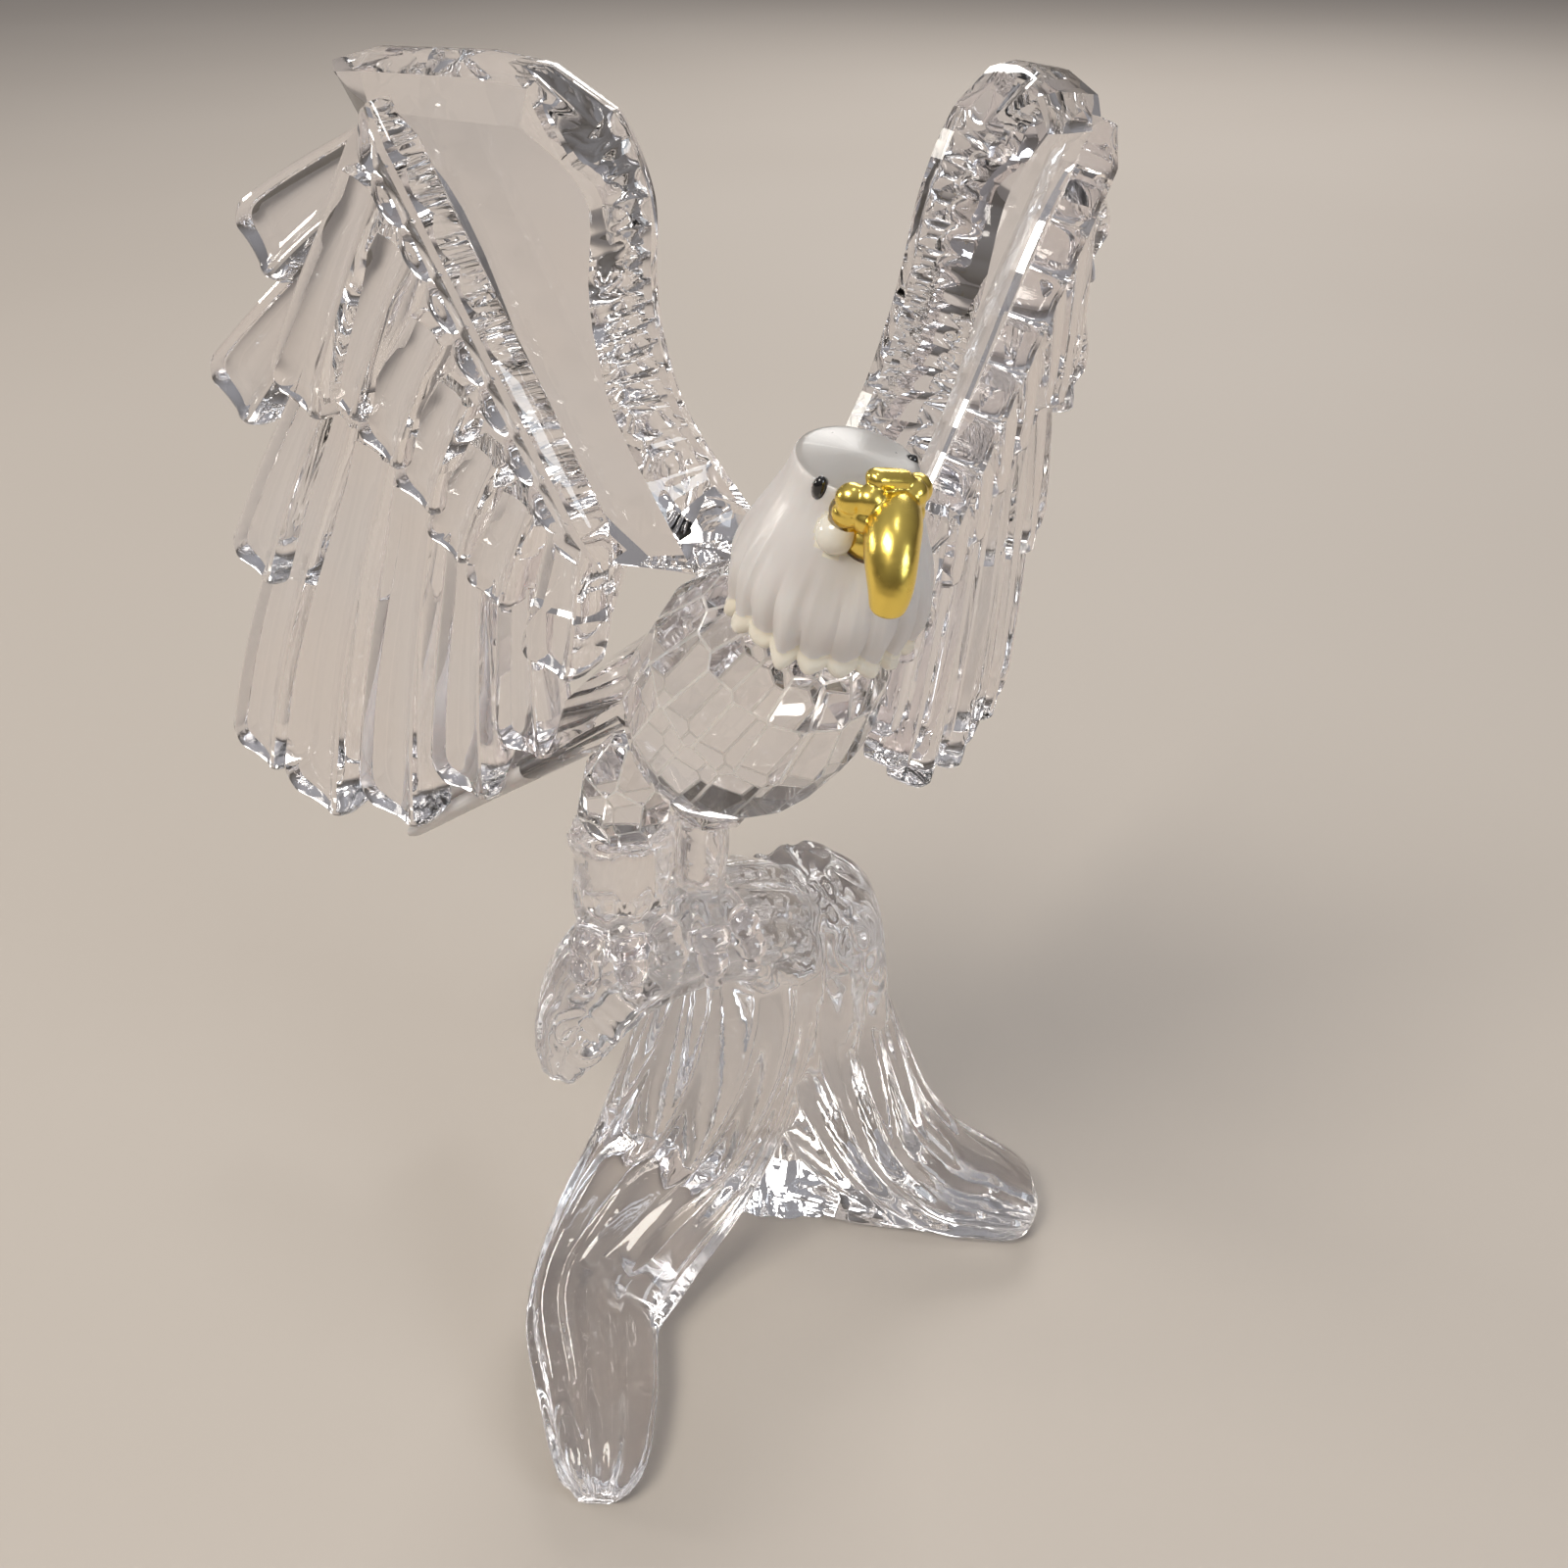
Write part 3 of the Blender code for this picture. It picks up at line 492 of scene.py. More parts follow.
def ridge_solid():
    """The ridge over the roots of the feathers: a narrow land and a row of scooped cells."""
    top = Vector((*RIDGE_TOP, 0))
    bottom = Vector((*RIDGE_BOTTOM, 0))
    direction = (bottom - top).normalized()
    across = Vector((direction.y, -direction.x, 0))
    low = -ARM_THICKNESS * 0.6
    steps = 16 * RIDGE_BEADS
    scoop_steps = 8
    sections = []
    for i in range(steps + 1):
        share = i / steps
        bead = abs(math.sin(math.pi * RIDGE_BEADS * share))
        end = min(1.0, 0.45 + 6 * min(share, 1 - share))
        half = (2.0 + 0.95 * bead ** 0.7) * end
        land = RIDGE_RISE * 0.97 * end
        rise = land * (0.85 + 0.15 * bead)
        centre = top.lerp(bottom, share)
        section = [wing_point(*(centre + across * 2.85 * end).xy, low),
                   wing_point(*(centre + across * 2.85 * end).xy, land * 0.08),
                   wing_point(*(centre + across * 2.5 * end).xy, land * 0.42),
                   wing_point(*(centre + across * 2.1 * end).xy, land * 0.74),
                   wing_point(*(centre + across * 1.6 * end).xy, land * 0.93),
                   wing_point(*(centre + across * 0.95 * end).xy, land)]
        for k in range(1, scoop_steps + 1):
            t = k / scoop_steps
            spot = centre + across * lerp(0.95 * end, -half, t)
            scoop = math.sin(math.pi * t) * (0.25 + 0.75 * bead) * 0.0011
            level = lerp(land, rise * 0.62, t ** 1.2)
            section.append(wing_point(spot.x, spot.y, level - scoop))
        for turn in (25, 50, 75):
            beyond = half + 0.55 * math.sin(math.radians(turn)) * end
            level = 0.62 - 0.42 * (1 - math.cos(math.radians(turn)))
            section.append(wing_point(*(centre - across * beyond).xy, rise * level))
        section.append(wing_point(*(centre - across * (half + 0.55 * end)).xy, rise * 0.05))
        section.append(wing_point(*(centre - across * half).xy, low))
        sections.append(section)
    return loft(sections)


def feather_profile(count):
    """The front of a feather from its outer to its inner edge: a hollow, then a rounded rib."""
    rows = []
    for k in range(count + 1):
        q = -1 + 2 * k / count
        edge = clamp((1 - abs(q)) / 0.16)
        level = lerp(0.08, 0.5, math.sqrt(1 - (1 - edge) ** 2))
        if q < 0.42:
            carve = -(1 - ((q + 0.24) / 0.66) ** 2)
            carve = min(carve, 0.0) * clamp((1 + q) / 0.2)
        elif q < 0.94:
            carve = math.sin(math.pi * (q - 0.42) / 0.52)
        else:
            carve = 0.0
        rows.append((q, level, carve))
    return rows


def feather_solid(root, tip, width, bend, mid_depth, thickness, tilt, back, rings=40):
    """A feather: a tongue with a blunt end, a long hollow and a raised rib on its inner side."""
    start = Vector((*root, 0))
    end = Vector((*tip, 0))
    direction = (end - start).normalized()
    across = Vector((direction.y, -direction.x, 0))
    length = (end - start).length
    corner = TIP_CORNER * width
    front = feather_profile(30)
    sections = []
    for i in range(rings):
        share = 1 - (1 - i / (rings - 1)) ** 1.9
        left = 1 - share
        short = max(0.0, corner - left * length)
        rounding = 1 - 2 * (corner - math.sqrt(corner ** 2 - short ** 2)) / width
        half = 0.5 * width * lerp(FEATHER_ROOT_SHARE, 1.0, share) * rounding
        bow = bend * math.sin(math.pi * 0.5 * share) ** 2 * (1 - share) * 2
        centre = start.lerp(end, share) + across * bow
        relief = clamp(left * length / 2.2 + 0.1) * min(1.0, 0.4 + 3 * share)
        lip = clamp(left * length / 0.7)
        lip = math.sqrt(1 - (1 - lip) ** 2)
        thick = thickness * lerp(0.72, 1.0, clamp(left * length / 4))
        middle = mid_depth + tilt * share
        section = []
        for q, level, carve in front:
            level = lerp(min(level, 0.05), level, lip)
            depth = middle + thick * level
            depth += relief * carve * (FEATHER_RIM_RISE if carve > 0 else FEATHER_FLUTE_DEPTH)
            spot = centre + across * (q * half)
            section.append(wing_point(spot.x, spot.y, depth))
        for q, chamfer in ((1.0, 0.0002), (0.96, 0.0), (-0.96, 0.0), (-1.0, 0.0002)):
            spot = centre + across * (q * half)
            section.append(wing_point(spot.x, spot.y, back + chamfer))
        sections.append(section)
    return loft(sections)


def wing_blank():
    """A whole wing on its own plane, as pressed, before it is fitted to the body."""
    parts = [new_object("ridge", ridge_solid()), new_object("web", web_solid())]
    for index, (root, tip, width, bend) in enumerate(FLIGHT_FEATHERS):
        depth = -0.55 * ARM_THICKNESS + FEATHER_STAGGER * index
        parts.append(new_object("flight", feather_solid(
            root, tip, width, bend, depth, FLIGHT_THICKNESS, 0.0008, FLIGHTS_BACK)))
    for index, (root, tip, width, bend) in enumerate(COVERTS):
        depth = -0.16 * ARM_THICKNESS + FEATHER_STAGGER * index
        parts.append(new_object("covert", feather_solid(
            root, tip, width, bend, depth, COVERT_THICKNESS, -0.0002, COVERTS_BACK)))
    return combine(new_object("arm", arm_solid()), parts, "UNION")


def wing_pose(at, turn, mirrored):
    pose = Matrix.LocRotScale(vec(at), Euler([math.radians(a) for a in turn]), None)
    return pose @ Matrix.Diagonal((-1, 1, 1, 1)) if mirrored else pose


def wings(rooms, mat):
    blank = wing_blank()
    for name, at, turn, mirrored in (("wing_right", RIGHT_WING_AT, RIGHT_WING_TURN, True),
                                     ("wing_left", LEFT_WING_AT, LEFT_WING_TURN, False)):
        obj = bpy.data.objects.new(name + "_pressed", blank.data.copy())
        bpy.context.scene.collection.objects.link(obj)
        obj.data.transform(wing_pose(at, turn, mirrored))
        if mirrored:
            obj.data.flip_normals()
        combine(obj, rooms, "DIFFERENCE", keep=True)
        shade(obj, WING_SHADE_ANGLE)
        piece(obj, name, "clear_crystal", mat)
    bpy.data.objects.remove(blank)


# Head, beak and eyes

def head_axes():
    low = vec(HEAD_HEM)
    top = vec(HEAD_CROWN)
    axis = (top - low).normalized()
    front = Vector((math.sin(HEAD_TURN), -math.cos(HEAD_TURN), 0))
    front = (front - axis * front.dot(axis)).normalized()
    return low, top, axis, front, axis.cross(front)


def neck_fold(level, angle):
    """How far the neck feathers stand out and how far they hang down, in units."""
    drape = max(0.0, 1 - level / 0.62)
    lobe = abs(math.cos(NECK_FLUTES * angle / 2))
    spot = Vector((math.cos(angle), math.sin(angle), 0))
    wander = noise.noise(spot * 2 + Vector((0, 0, level * 2)))
    strand = noise.noise(spot * 11 + Vector((0, 0, level * 2.5)))
    out = drape * ((0.66 + 0.4 * wander) * lobe - 0.28) + 0.26 * strand * min(1.0, 3 * drape + 0.15)
    return out, drape ** 3 * (0.95 + 0.6 * wander) * lobe


def head_solid(grow=0.0, around=10 * NECK_FLUTES, rings=84):
    """Frosted head and neck: fluted neck feathers with a rolled, scalloped hem, a flat brow."""
    low, top, axis, front, side = head_axes()
    height = (top - low).length
    profile = [(0.05, 6.7), (0.025, 7.0), (0.025, 7.5), (0.045, 7.85), (0.075, 7.9), (0.105, 7.75),
               (0.15, 7.9), (0.22, 8.2), (0.32, 8.3), (0.43, 7.95), (0.54, 7.35), (0.66, 6.6),
               (0.77, 5.85), (0.86, 5.4), (0.92, 5.2), (0.95, 5.02), (0.964, 4.7), (0.972, 4.2),
               (0.984, 2.9), (0.996, 1.2), (1.0, 0.15)]
    sections = []
    for i in range(rings):
        level, radius = curve_at([(a, b, 0) for a, b in profile],
                                 i / (rings - 1) * (len(profile) - 1)).xy
        drape = max(0.0, 1 - level / 0.62)
        section = []
        for k in range(around):
            angle = math.tau * k / around
            out, down = neck_fold(level, angle)
            r = (radius + out) * UNIT + grow
            rise = height * level - down * UNIT + (grow if level > 0.95 else -grow * drape)
            spot = low + axis * rise + front * (r * math.cos(angle))
            section.append(spot + side * (r * 0.97 * math.sin(angle)))
        sections.append(section)
    return loft(sections)


def ball(centre, radii, axes, name="ball"):
    """An egg shape with its half sizes along three axes."""
    bm = bmesh.new()
    bmesh.ops.create_uvsphere(bm, u_segments=48, v_segments=24, radius=1.0)
    shape = Matrix([axis * radius for axis, radius in zip(axes, radii)]).transposed().to_4x4()
    bmesh.ops.transform(bm, matrix=Matrix.Translation(centre) @ shape, verts=bm.verts)
    return new_object(name, bm)


def gape_place():
    """The middle of the smooth knob at the corner of the beak."""
    low, top, axis, front, side = head_axes()
    out = front * math.cos(GAPE_TURN) - side * math.sin(GAPE_TURN)
    return low + axis * ((top - low).length * GAPE_LEVEL) + out * (5.7 * UNIT)


def head_finish_masks(head):
    """The rolled hem and the knob by the beak get the second finish, a gloss whose cream colour
    paints the hem's glints, and the crown the third, whose darker grey colour paints shade.
    """
    low, top, axis, front, side = head_axes()
    height = (top - low).length
    knob = gape_place()
    for face in head.data.polygons:
        offset = face.center - low
        level = offset.dot(axis) / height
        angle = math.atan2(offset.dot(side), offset.dot(front))
        # Below this level the faces take the cream finish, painted glints on the hem
        hem = 0.13 - neck_fold(0.06, angle)[1] * UNIT / height
        # Above this level the faces take the darker grey finish, painted shade on the crown
        if level > 0.955:
            face.material_index = 2
        elif level < hem or (face.center - knob).length < 1.75 * UNIT:
            face.material_index = 1


def beak_parts(grow=0.0):
    """The hook, the bar of the cere across it, the nostrils and the jaw under it."""
    low, top, axis, front, side = head_axes()
    axes = (side, front, axis)
    path = [vec(p) for p in BEAK_PATH]
    sizes = [(0.36, 0.32), (0.39, 0.37), (0.37, 0.39), (0.30, 0.32), (0.22, 0.21)]
    sizes = [(w * BEAK_WIDTH + grow, h * BEAK_WIDTH + grow) for w, h in sizes]
    parts = [new_object("hook", limb(path, sizes, 48, 60, side, end_round=0.09))]
    bar = path[1] + axis * (2.35 * UNIT) - front * (1.3 * UNIT)
    reach = 0.38 * BEAK_WIDTH
    along_bar = (side - axis * 0.2).normalized()
    bar_path = [bar + along_bar * (reach * share) for share in (-1, -0.85, -0.5, 0.5, 0.85, 1)]
    bar_sizes = [(0.3, 0.3), (0.8, 0.62), (1.0, 0.78), (1.0, 0.78), (0.8, 0.62), (0.3, 0.3)]
    bar_sizes = [(w * UNIT + grow, h * UNIT + grow) for w, h in bar_sizes]
    parts.append(new_object("cere", limb(bar_path, bar_sizes, 36, 30, front)))
    for sign in (-1, 1):
        for out, forward, rise, radius in ((2.9, -1.6, 0.9, 1.25), (1.9, -0.7, 1.2, 1.2),
                                           (2.9, -1.8, -0.5, 1.15), (1.9, -0.5, -0.3, 1.2)):
            centre = path[1] + (side * (sign * out) + front * forward + axis * rise) * UNIT
            parts.append(ball(centre, [radius * UNIT + grow] * 3, axes, "nostril"))
    jaw = path[1] - (axis * 2.7 + front * 1.5) * UNIT
    jaw_radii = [radius * UNIT + grow for radius in (2.8, 2.3, 1.9)]
    parts.append(ball(jaw, jaw_radii, axes, "jaw"))
    return parts


def eye_ball(turn, reach, grow=0.0):
    low, top, axis, front, side = head_axes()
    outward = front * math.cos(turn) + side * math.sin(turn)
    centre = low + axis * ((top - low).length * EYE_LEVEL) + outward * (reach * UNIT)
    return ball(centre, (EYE_WIDTH / 2 + grow, EYE_BULGE + grow, EYE_HEIGHT / 2 + grow),
                (outward.cross(axis), outward, axis))


# Tail

def tail_axes():
    ahead = Vector(TAIL_TIP_DIRECTION).normalized()
    across = ahead.cross(Vector((0, 0, 1))).normalized()
    return vec(TAIL_ROOT), ahead, across, across.cross(ahead)


def tail_parts():
    """The tail's fan of overlapping frosted feathers."""
    root, ahead, across, top = tail_axes()
    parts = []
    spread = [(-1, 0.96, -0.0010), (1, 0.97, -0.0010), (0, 1.0, -0.0008), (-0.55, 0.93, 0.0006),
              (0.55, 0.95, 0.0008), (0, 0.90, 0.0016)]
    for place_across, reach, lift in spread:
        tip = root + ahead * TAIL_LENGTH * reach + across * (place_across * 4.4 * UNIT)
        start = root + across * (place_across * 2.6 * UNIT) + ahead * (6 * UNIT)
        path = [start, start.lerp(tip, 0.35), start.lerp(tip, 0.7), start.lerp(tip, 0.93), tip]
        path = [p + top * lift for p in path]
        half = 0.5 * TAIL_TIP_THICKNESS
        sizes = [(3.0 * UNIT, half), (3.4 * UNIT, half * 0.8), (3.5 * UNIT, half * 0.58),
                 (3.3 * UNIT, half * 0.5), (3.0 * UNIT, half * 0.48)]
        parts.append(new_object("blade", limb(path, sizes, 40, 60, across, end_round=0.05)))
    return parts


def tail_block():
    root, ahead, across, top = tail_axes()
    sections = []
    shape = [(0, 5.6, 5.2), (9, 6.2, 5.0), (17, 6.6, 3.6), (25, 6.8, 2.4)]
    for forward, half_width, half_height in shape:
        centre = root + ahead * forward * UNIT
        corners = [(1, 0.1), (0.62, 0.82), (0, 1), (-0.62, 0.82), (-1, 0.1), (-0.7, -0.6),
                   (0, -0.8), (0.7, -0.6)]
        sections.append([centre + across * (x * half_width * UNIT) + top * (y * half_height * UNIT)
                         for x, y in corners])
    return loft(sections)


def clear_tail_root(tail):
    """The cut root of the tail is left clear, and the rest is frosted."""
    root, ahead, across, top = tail_axes()
    for face in tail.data.polygons:
        if (face.center - root).dot(ahead) < CLEAR_TAIL_ROOT:
            face.material_index = 1


# The root, its branch and the feet

def grain(count, depth, phase):
    """Wandering flutes along a limb, like the grain of driftwood, sharper in their valleys."""
    def ripple(angle, share):
        drift = noise.noise(Vector((math.cos(angle), math.sin(angle), share * 2.2 + phase)))
        wave = abs(math.cos(0.5 * count * angle + phase + 1.6 * drift))
        return depth * (2 * wave ** 0.8 - 1) + 0.0004 * drift
    return ripple


def root_limbs():
    limbs = [
        ((1, 0, 0), [(-5, 8, 52), (-6, 8.5, 40), (-9.5, 7, 27), (-15, 2.5, 15), (-21.8, -6, 7),
                     (-25.2, -15, 3.6), (-23.4, -27, 3), (-22.2, -36, 2), (-22.2, -39.5, 1)],
         [(8.5, 7), (11, 9), (11.8, 10), (11.4, 10), (10, 9), (8.4, 7.8), (6.9, 6.4), (5, 4.6),
          (2.0, 1.8)], 11),
        ((0.2, -1, 0), [(-1, 12, 52), (0, 14.5, 42), (3.5, 15, 28), (11, 12.5, 13), (20, 9.5, 5.5),
                        (28.5, 7.2, 3.2), (33, 5, 2.4), (35.5, 4.4, 1.6)],
         [(8, 8), (11, 11.5), (11, 11.5), (10.4, 10), (8.8, 8), (7.6, 6), (5.6, 4.6),
          (2.4, 2)], 12),
        ((1, 0.2, 0), [(-2, 14, 48), (-3, 17, 36), (-8, 18, 22), (-14, 20, 10), (-19, 22, 4),
                       (-22, 23, 1.6)],
         [(9, 8), (11, 11), (11, 10), (8.5, 7.5), (6.5, 5.8), (3.4, 2.6)], 11),
        ((1, 0, 0), [(0, 14, 34), (0, 14.5, 20), (0.5, 15, 8), (1, 15.5, -3)],
         [(9, 7), (11, 8.5), (14, 9.5), (16, 10.5)], 24),
        ((0.2, -1, 0), [(3, 12.5, 4), (12, 10, 2.6), (20, 8.2, 2.2), (28, 6.5, 2)],
         [(7.6, 5), (7.4, 4), (6.8, 3.4), (5, 3)], 8),
        ((1, 0, 0), [(0.8, 10.5, 57), (2.2, 11.5, 52.5), (3.5, 12.5, 45), (3.6, 14, 32)],
         [(5.2, 5.2), (8.4, 7.6), (9.6, 8.8), (10.4, 9.6)], 9),
        ((0.5, -0.8, 0), [(-3, 9, 50), (-6, -2, 60), (-12, -13, 66.5), (-18.5, -19.5, 66.5),
                          (-22.8, -20.5, 59.5), (-25.0, -19.5, 52)],
         [(9, 8), (7.6, 7.0), (6.8, 6.2), (6.0, 5.4), (4.6, 4.2), (1.8, 1.7)], 8),
    ]
    parts = []
    for index, (side, points, sizes, flutes) in enumerate(limbs):
        bm = limb([vec(p) for p in points], [(w * UNIT, h * UNIT) for w, h in sizes], 96, 90,
                  side, ripple=grain(flutes, ROOT_FLUTE_DEPTH, index))
        parts.append(new_object("limb", bm))
    return parts


def foot_parts():
    """Each shank with three front toes and a back toe, which grip the branch."""
    parts = []
    for (ankle, sole), girth in ((RIGHT_SHANK, 5.4), (LEFT_SHANK, 2.9)):
        top = vec(ankle)
        low = vec(sole)
        path = [top, top + Vector((0, 0, -3 * UNIT)), top.lerp(low, 0.65), low]
        sizes = [(girth * UNIT, girth * 0.95 * UNIT), (girth * 0.94 * UNIT, girth * 0.9 * UNIT),
                 (girth * 0.86 * UNIT, girth * 0.86 * UNIT), (3.0 * UNIT, 3.0 * UNIT)]
        bm = limb(path, sizes, 60, 40, (1, 0, 0), ripple=grain(7, 0.00025, girth))
        parts.append(new_object("shank", bm))
        for spread in (-50, -12, 26, 175):
            angle = math.radians(spread - 62)
            out = Vector((math.cos(angle), math.sin(angle), 0))
            ball = low + Vector((0, 0, 3.4 * UNIT))
            toe = [ball - out * 0.8 * UNIT, ball + out * 4.6 * UNIT + Vector((0, 0, -0.4 * UNIT)),
                   ball + out * 7.2 * UNIT + Vector((0, 0, -3.2 * UNIT)),
                   ball + out * 7.4 * UNIT + Vector((0, 0, -6.6 * UNIT))]
            sizes = [(2.4 * UNIT, 2.3 * UNIT), (2.2 * UNIT, 2.0 * UNIT), (1.8 * UNIT, 1.7 * UNIT),
                     (0.8 * UNIT, 0.7 * UNIT)]
            bm = limb(toe, sizes, 24, 40, (-out.y, out.x, 0),
                      ripple=lambda a, s: 0.00022 * math.cos(s * 26))
            parts.append(new_object("toe", bm))
    return parts


def knots_and_knuckles(point, normal):
    """Rings round each knot in the wood, and the bubbly knuckles of the feet."""
    offset = 0.0
    for centre, reach, pitch, depth in KNOTS:
        distance = (point - vec(centre)).length / UNIT
        if distance < 2.5 * reach:
            rings = math.cos(math.tau * distance / pitch)
            offset += depth * rings * math.exp(-(distance / reach) ** 2)
    for sole, reach in ((RIGHT_SHANK[1], 8.5), (LEFT_SHANK[1], 6.5)):
        distance = (point - vec(sole)).length / UNIT
        if distance < reach:
            nearest = noise.voronoi(point / (1.9 * UNIT))[0][0]
            bump = 1 - clamp(nearest / 0.62) ** 2
            offset += 0.00042 * bump * (1 - (distance / reach) ** 2)
    return offset


def table_block():
    bm = bmesh.new()
    bmesh.ops.create_cube(bm, size=TABLE_SIZE)
    return moved(bm, Vector((0, 0, -TABLE_SIZE / 2)))


# Materials

def shader_of(mat):
    return mat.node_tree.nodes["Principled BSDF"]


def new_material(name, colour, roughness, **values):
    mat = bpy.data.materials.new(name)
    mat.use_nodes = True
    shader = shader_of(mat)
    shader.inputs["Base Color"].default_value = (*colour, 1)
    shader.inputs["Roughness"].default_value = roughness
    for key, value in values.items():
        shader.inputs[key.replace("_", " ")].default_value = value
    return mat


def add_noise(mat, scale, detail=2.0):
    tree = mat.node_tree
    coords = tree.nodes.new("ShaderNodeTexCoord")
    texture = tree.nodes.new("ShaderNodeTexNoise")
    texture.inputs["Scale"].default_value = scale
    texture.inputs["Detail"].default_value = detail
    tree.links.new(coords.outputs["Object"], texture.inputs["Vector"])
    return texture


def vary_colour(mat, texture, dark, light):
    tree = mat.node_tree
    ramp = tree.nodes.new("ShaderNodeValToRGB")
    ramp.color_ramp.elements[0].position = 0.35
    ramp.color_ramp.elements[0].color = (*dark, 1)
    ramp.color_ramp.elements[1].position = 0.65
    ramp.color_ramp.elements[1].color = (*light, 1)
    tree.links.new(texture.outputs["Fac"], ramp.inputs["Fac"])
    tree.links.new(ramp.outputs["Color"], shader_of(mat).inputs["Base Color"])


def vary_roughness(mat, texture, low, high):
    tree = mat.node_tree
    spread = tree.nodes.new("ShaderNodeMapRange")
    spread.inputs["To Min"].default_value = low
    spread.inputs["To Max"].default_value = high
    tree.links.new(texture.outputs["Fac"], spread.inputs["Value"])
    tree.links.new(spread.outputs["Result"], shader_of(mat).inputs["Roughness"])


def add_bump(mat, texture, strength, distance):
    tree = mat.node_tree
    bump = tree.nodes.new("ShaderNodeBump")
    bump.inputs["Strength"].default_value = strength
    bump.inputs["Distance"].default_value = distance
    tree.links.new(texture.outputs["Fac"], bump.inputs["Height"])
    tree.links.new(bump.outputs["Normal"], shader_of(mat).inputs["Normal"])


def clear_glass(name, ripple, ior=1.52):
    mat = new_material(name, (0.975, 0.96, 0.965), 0.01, Transmission_Weight=1.0, IOR=ior)
    vary_colour(mat, add_noise(mat, 60), (0.985, 0.955, 0.955), (0.965, 0.96, 0.985))
    if ripple:
        add_bump(mat, add_noise(mat, 420, 1.0), 0.35, ripple)
    return mat


def frosted_glass(name, dark, light, see_through, low, high, coat=0.25, gloss=0.5):
    """Frosted crystal between a dark and a light tint, with its roughness between two values."""
    mat = new_material(name, light, high, Transmission_Weight=see_through, IOR=1.5,
                       Subsurface_Weight=0.3, Subsurface_Scale=0.004, Coat_Weight=coat,
                       Coat_Roughness=0.16, Specular_IOR_Level=gloss)
    shader_of(mat).inputs["Subsurface Radius"].default_value = (1.0, 0.8, 0.7)
    vary_colour(mat, add_noise(mat, 130, 2.0), dark, light)
    vary_roughness(mat, add_noise(mat, 900, 3.0), low, high)
    return mat


def gilding():
    mat = new_material("gilding", (1.0, 0.75, 0.17), 0.14, Metallic=1.0)
    vary_roughness(mat, add_noise(mat, 700), 0.17, 0.33)
    add_bump(mat, add_noise(mat, 500, 2.0), 0.4, 0.0002)
    return mat


def black_bead():
    mat = new_material("bead", (0.012, 0.011, 0.012), 0.06, Coat_Weight=0.6)
    vary_roughness(mat, add_noise(mat, 1200), 0.03, 0.1)
    return mat


# Studio

def studio():
    scene = bpy.context.scene
    camera = bpy.data.objects.new("camera", bpy.data.cameras.new("camera"))
    camera.data.lens = 36.0
    camera.data.sensor_width = 36.0
    camera.data.sensor_fit = "HORIZONTAL"
    camera.data.clip_start = 0.01
    camera.location = (0.0, -0.165, 0.175)
    camera.rotation_euler = (math.radians(57), 0.0, 0.0)
    scene.collection.objects.link(camera)
    scene.camera = camera

    bm = bmesh.new()
    bmesh.ops.create_grid(bm, x_segments=1, y_segments=1, size=4.0)
    floor = new_object("floor", bm)
    floor.location.z = -FLOOR_CLEARANCE
    paper = new_material("floor paper", (0.54, 0.485, 0.43), 0.75)
    vary_colour(paper, add_noise(paper, 3), (0.53, 0.475, 0.42), (0.55, 0.495, 0.44))
    floor.data.materials.append(paper)

    # Name, place, size, power and tint
    lights = [("key", (-0.48, -0.5, 1.0), 0.5, 7.8, (1.0, 0.95, 0.86)),
              ("fill", (0.95, -0.6, 0.5), 0.45, 3.0, (0.84, 0.92, 1.0)),
              ("back", (0.25, 1.05, 0.75), 0.6, 5.5, (1.0, 0.98, 0.95)),
              ("side", (-0.95, 0.25, 0.35), 0.2, 1.5, (1.0, 0.95, 0.88)),
              ("top", (0.18, -0.05, 1.15), 0.15, 0.75, (0.95, 0.97, 1.0))]
    for name, at, size, power, tint in lights:
        data = bpy.data.lights.new(name, "AREA")
        data.shape = "RECTANGLE"
        data.size = size
        data.size_y = size * 0.7
        data.energy = power
        data.color = tint
        light = bpy.data.objects.new(name, data)
        light.location = at
        aim = Vector((0, 0, 0.07)) - Vector(at)
        light.rotation_euler = aim.to_track_quat("-Z", "Y").to_euler()
        light.visible_camera = False
        scene.collection.objects.link(light)

    world = bpy.data.worlds.new("studio")
    world.use_nodes = True
    tree = world.node_tree
    coords = tree.nodes.new("ShaderNodeTexCoord")
    split = tree.nodes.new("ShaderNodeSeparateXYZ")
    ramp = tree.nodes.new("ShaderNodeValToRGB")
    ramp.color_ramp.elements[0].position = 0.0
    ramp.color_ramp.elements[0].color = (0.08, 0.07, 0.06, 1)
    ramp.color_ramp.elements[1].position = 0.9
    ramp.color_ramp.elements[1].color = (0.34, 0.34, 0.36, 1)
    tree.links.new(coords.outputs["Generated"], split.inputs["Vector"])
    tree.links.new(split.outputs["Z"], ramp.inputs["Fac"])
    tree.links.new(ramp.outputs["Color"], tree.nodes["Background"].inputs["Color"])
    scene.world = world

    scene.view_settings.view_transform = "Standard"
    # A reflection inside the glass counts as a glossy bounce, and runs out black
    scene.cycles.max_bounces = 16
    scene.cycles.transmission_bounces = 16
    scene.cycles.glossy_bounces = 12
    scene.cycles.diffuse_bounces = 2


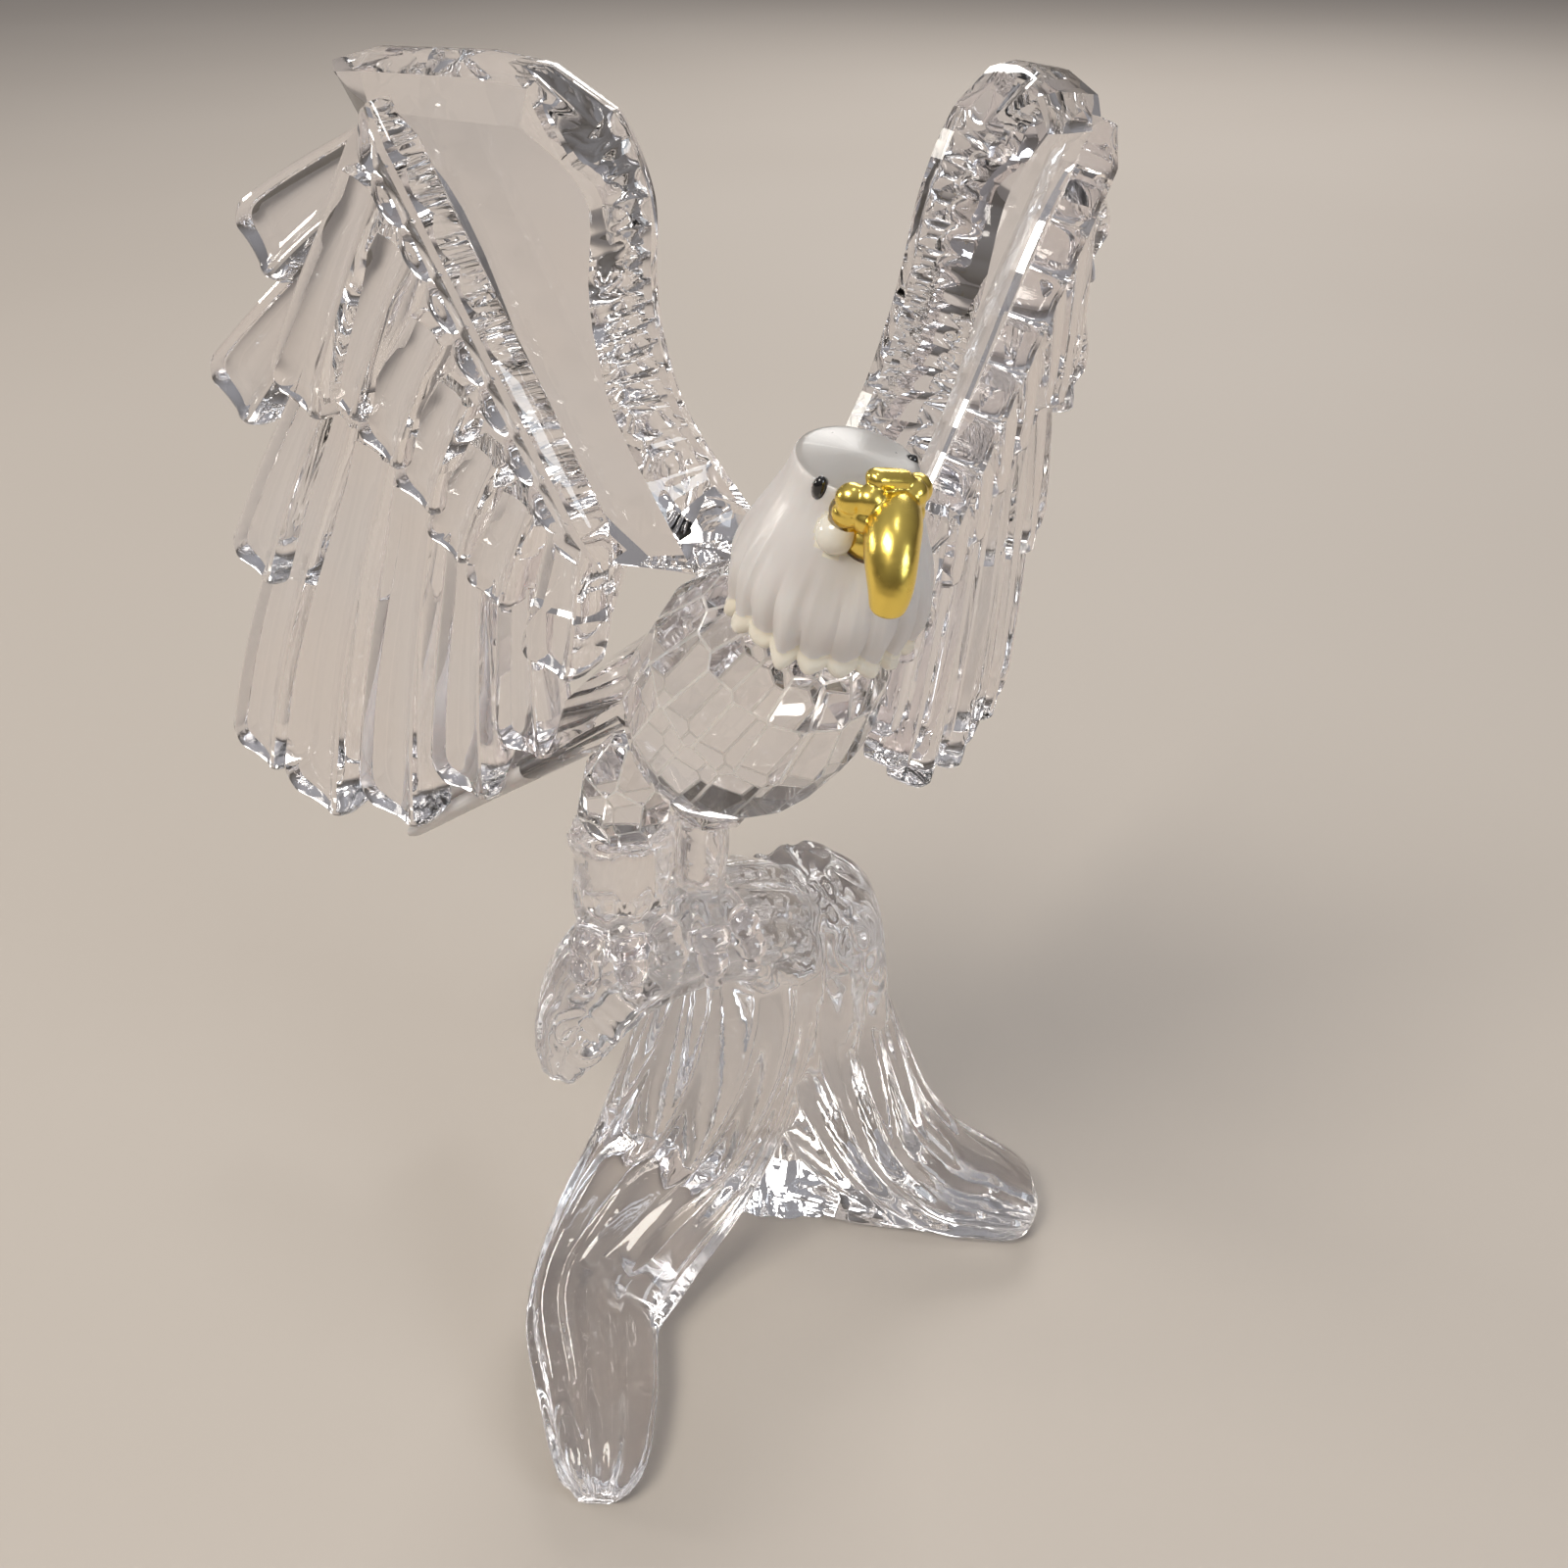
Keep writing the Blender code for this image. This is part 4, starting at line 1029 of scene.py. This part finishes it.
def main():
    clear = clear_glass("clear crystal", 0.0)
    cast = clear_glass("cast crystal", 0.00015)
    cut = clear_glass("cut crystal", 0.0, 1.6)
    # The whitish frosted finish on the facet joints paints a bright highlight line along each edge
    joint = frosted_glass("joints with painted highlight", (0.95, 0.93, 0.90), (0.99, 0.98, 0.96), 0.75,
                          0.1, 0.2)
    frosted = frosted_glass("frosted", (0.80, 0.755, 0.74), (0.88, 0.85, 0.84), 0.2, 0.3, 0.46)
    # The hem's cream colour paints its glints; the low roughness and the coat are its polish
    hem = frosted_glass("hem polish with painted glints", (0.96, 0.87, 0.72), (0.99, 0.93, 0.82), 0.1,
                        0.12, 0.2, coat=0.5)
    # The crown's darker grey colour is painted shade on the top; its clearer see-through and lower
    # gloss are its polish
    crown = frosted_glass("crown polish with painted shade", (0.66, 0.63, 0.60), (0.73, 0.70, 0.67), 0.5, 0.25, 0.35,
                          coat=0.1, gloss=0.25)

    body_room = new_object("body room", body_stone(GLUE_GAP))
    piece(new_object("body_stone", bevels_with_painted_highlight(body_stone(), BODY_JOINT)), "body",
          "clear_crystal", cut, joint)
    thigh_rooms = []
    for name, measures in (("thigh_right", RIGHT_THIGH), ("thigh_left", LEFT_THIGH)):
        cut_thigh = bevels_with_painted_highlight(thigh_stone(*measures), THIGH_JOINT)
        stone = new_object(name + "_stone", cut_thigh)
        combine(stone, [body_room], "DIFFERENCE", keep=True)
        thigh_rooms.append(new_object(name + " room", thigh_stone(*measures, GLUE_GAP)))
        piece(stone, name, "clear_crystal", cut, joint)

    sockets = beak_parts(GLUE_GAP)
    for name, place in zip(("eye_right", "eye_left"), EYES):
        eye = eye_ball(*place)
        eye.name = name + "_bead"
        shade(eye, ROUND_SHADE_ANGLE)
        piece(eye, name, "black_glass", black_bead())
        sockets.append(eye_ball(*place, GLUE_GAP * 0.3))
    beak = voxel_cast("beak_cast", beak_parts(), BEAK_GRAIN, 7)
    shade(beak, ROUND_SHADE_ANGLE)
    piece(beak, "beak", "polished_gold", gilding())
    head = new_object("head_frosted", head_solid())
    combine(head, [ball(gape_place(), [GAPE_RADIUS * UNIT] * 3, head_axes()[2:])], "UNION")
    combine(head, [body_room] + sockets, "DIFFERENCE", keep=True)
    shade(head, HEAD_SHADE_ANGLE)
    head_finish_masks(head)
    piece(head, "head", "frosted_crystal", frosted, hem, crown)
    head_room = new_object("head room", head_solid(2 * GLUE_GAP))

    wings([body_room, head_room], clear)

    tail = combine(new_object("tail_frosted", tail_block()), tail_parts(), "UNION")
    combine(tail, [body_room], "DIFFERENCE", keep=True)
    shade(tail, TAIL_SHADE_ANGLE)
    clear_tail_root(tail)
    piece(tail, "tail", "frosted_crystal", frosted, clear)

    base = voxel_cast("base_cast", root_limbs() + foot_parts(), BASE_GRAIN, 2)
    displace(base, knots_and_knuckles)
    table = new_object("table", table_block())
    combine(base, [table] + thigh_rooms, "DIFFERENCE", keep=True)
    shade(base, BASE_SHADE_ANGLE)
    piece(base, "base", "clear_crystal", cast)

    for tool in [body_room, head_room, table] + thigh_rooms + sockets:
        bpy.data.objects.remove(tool)


studio()
main()
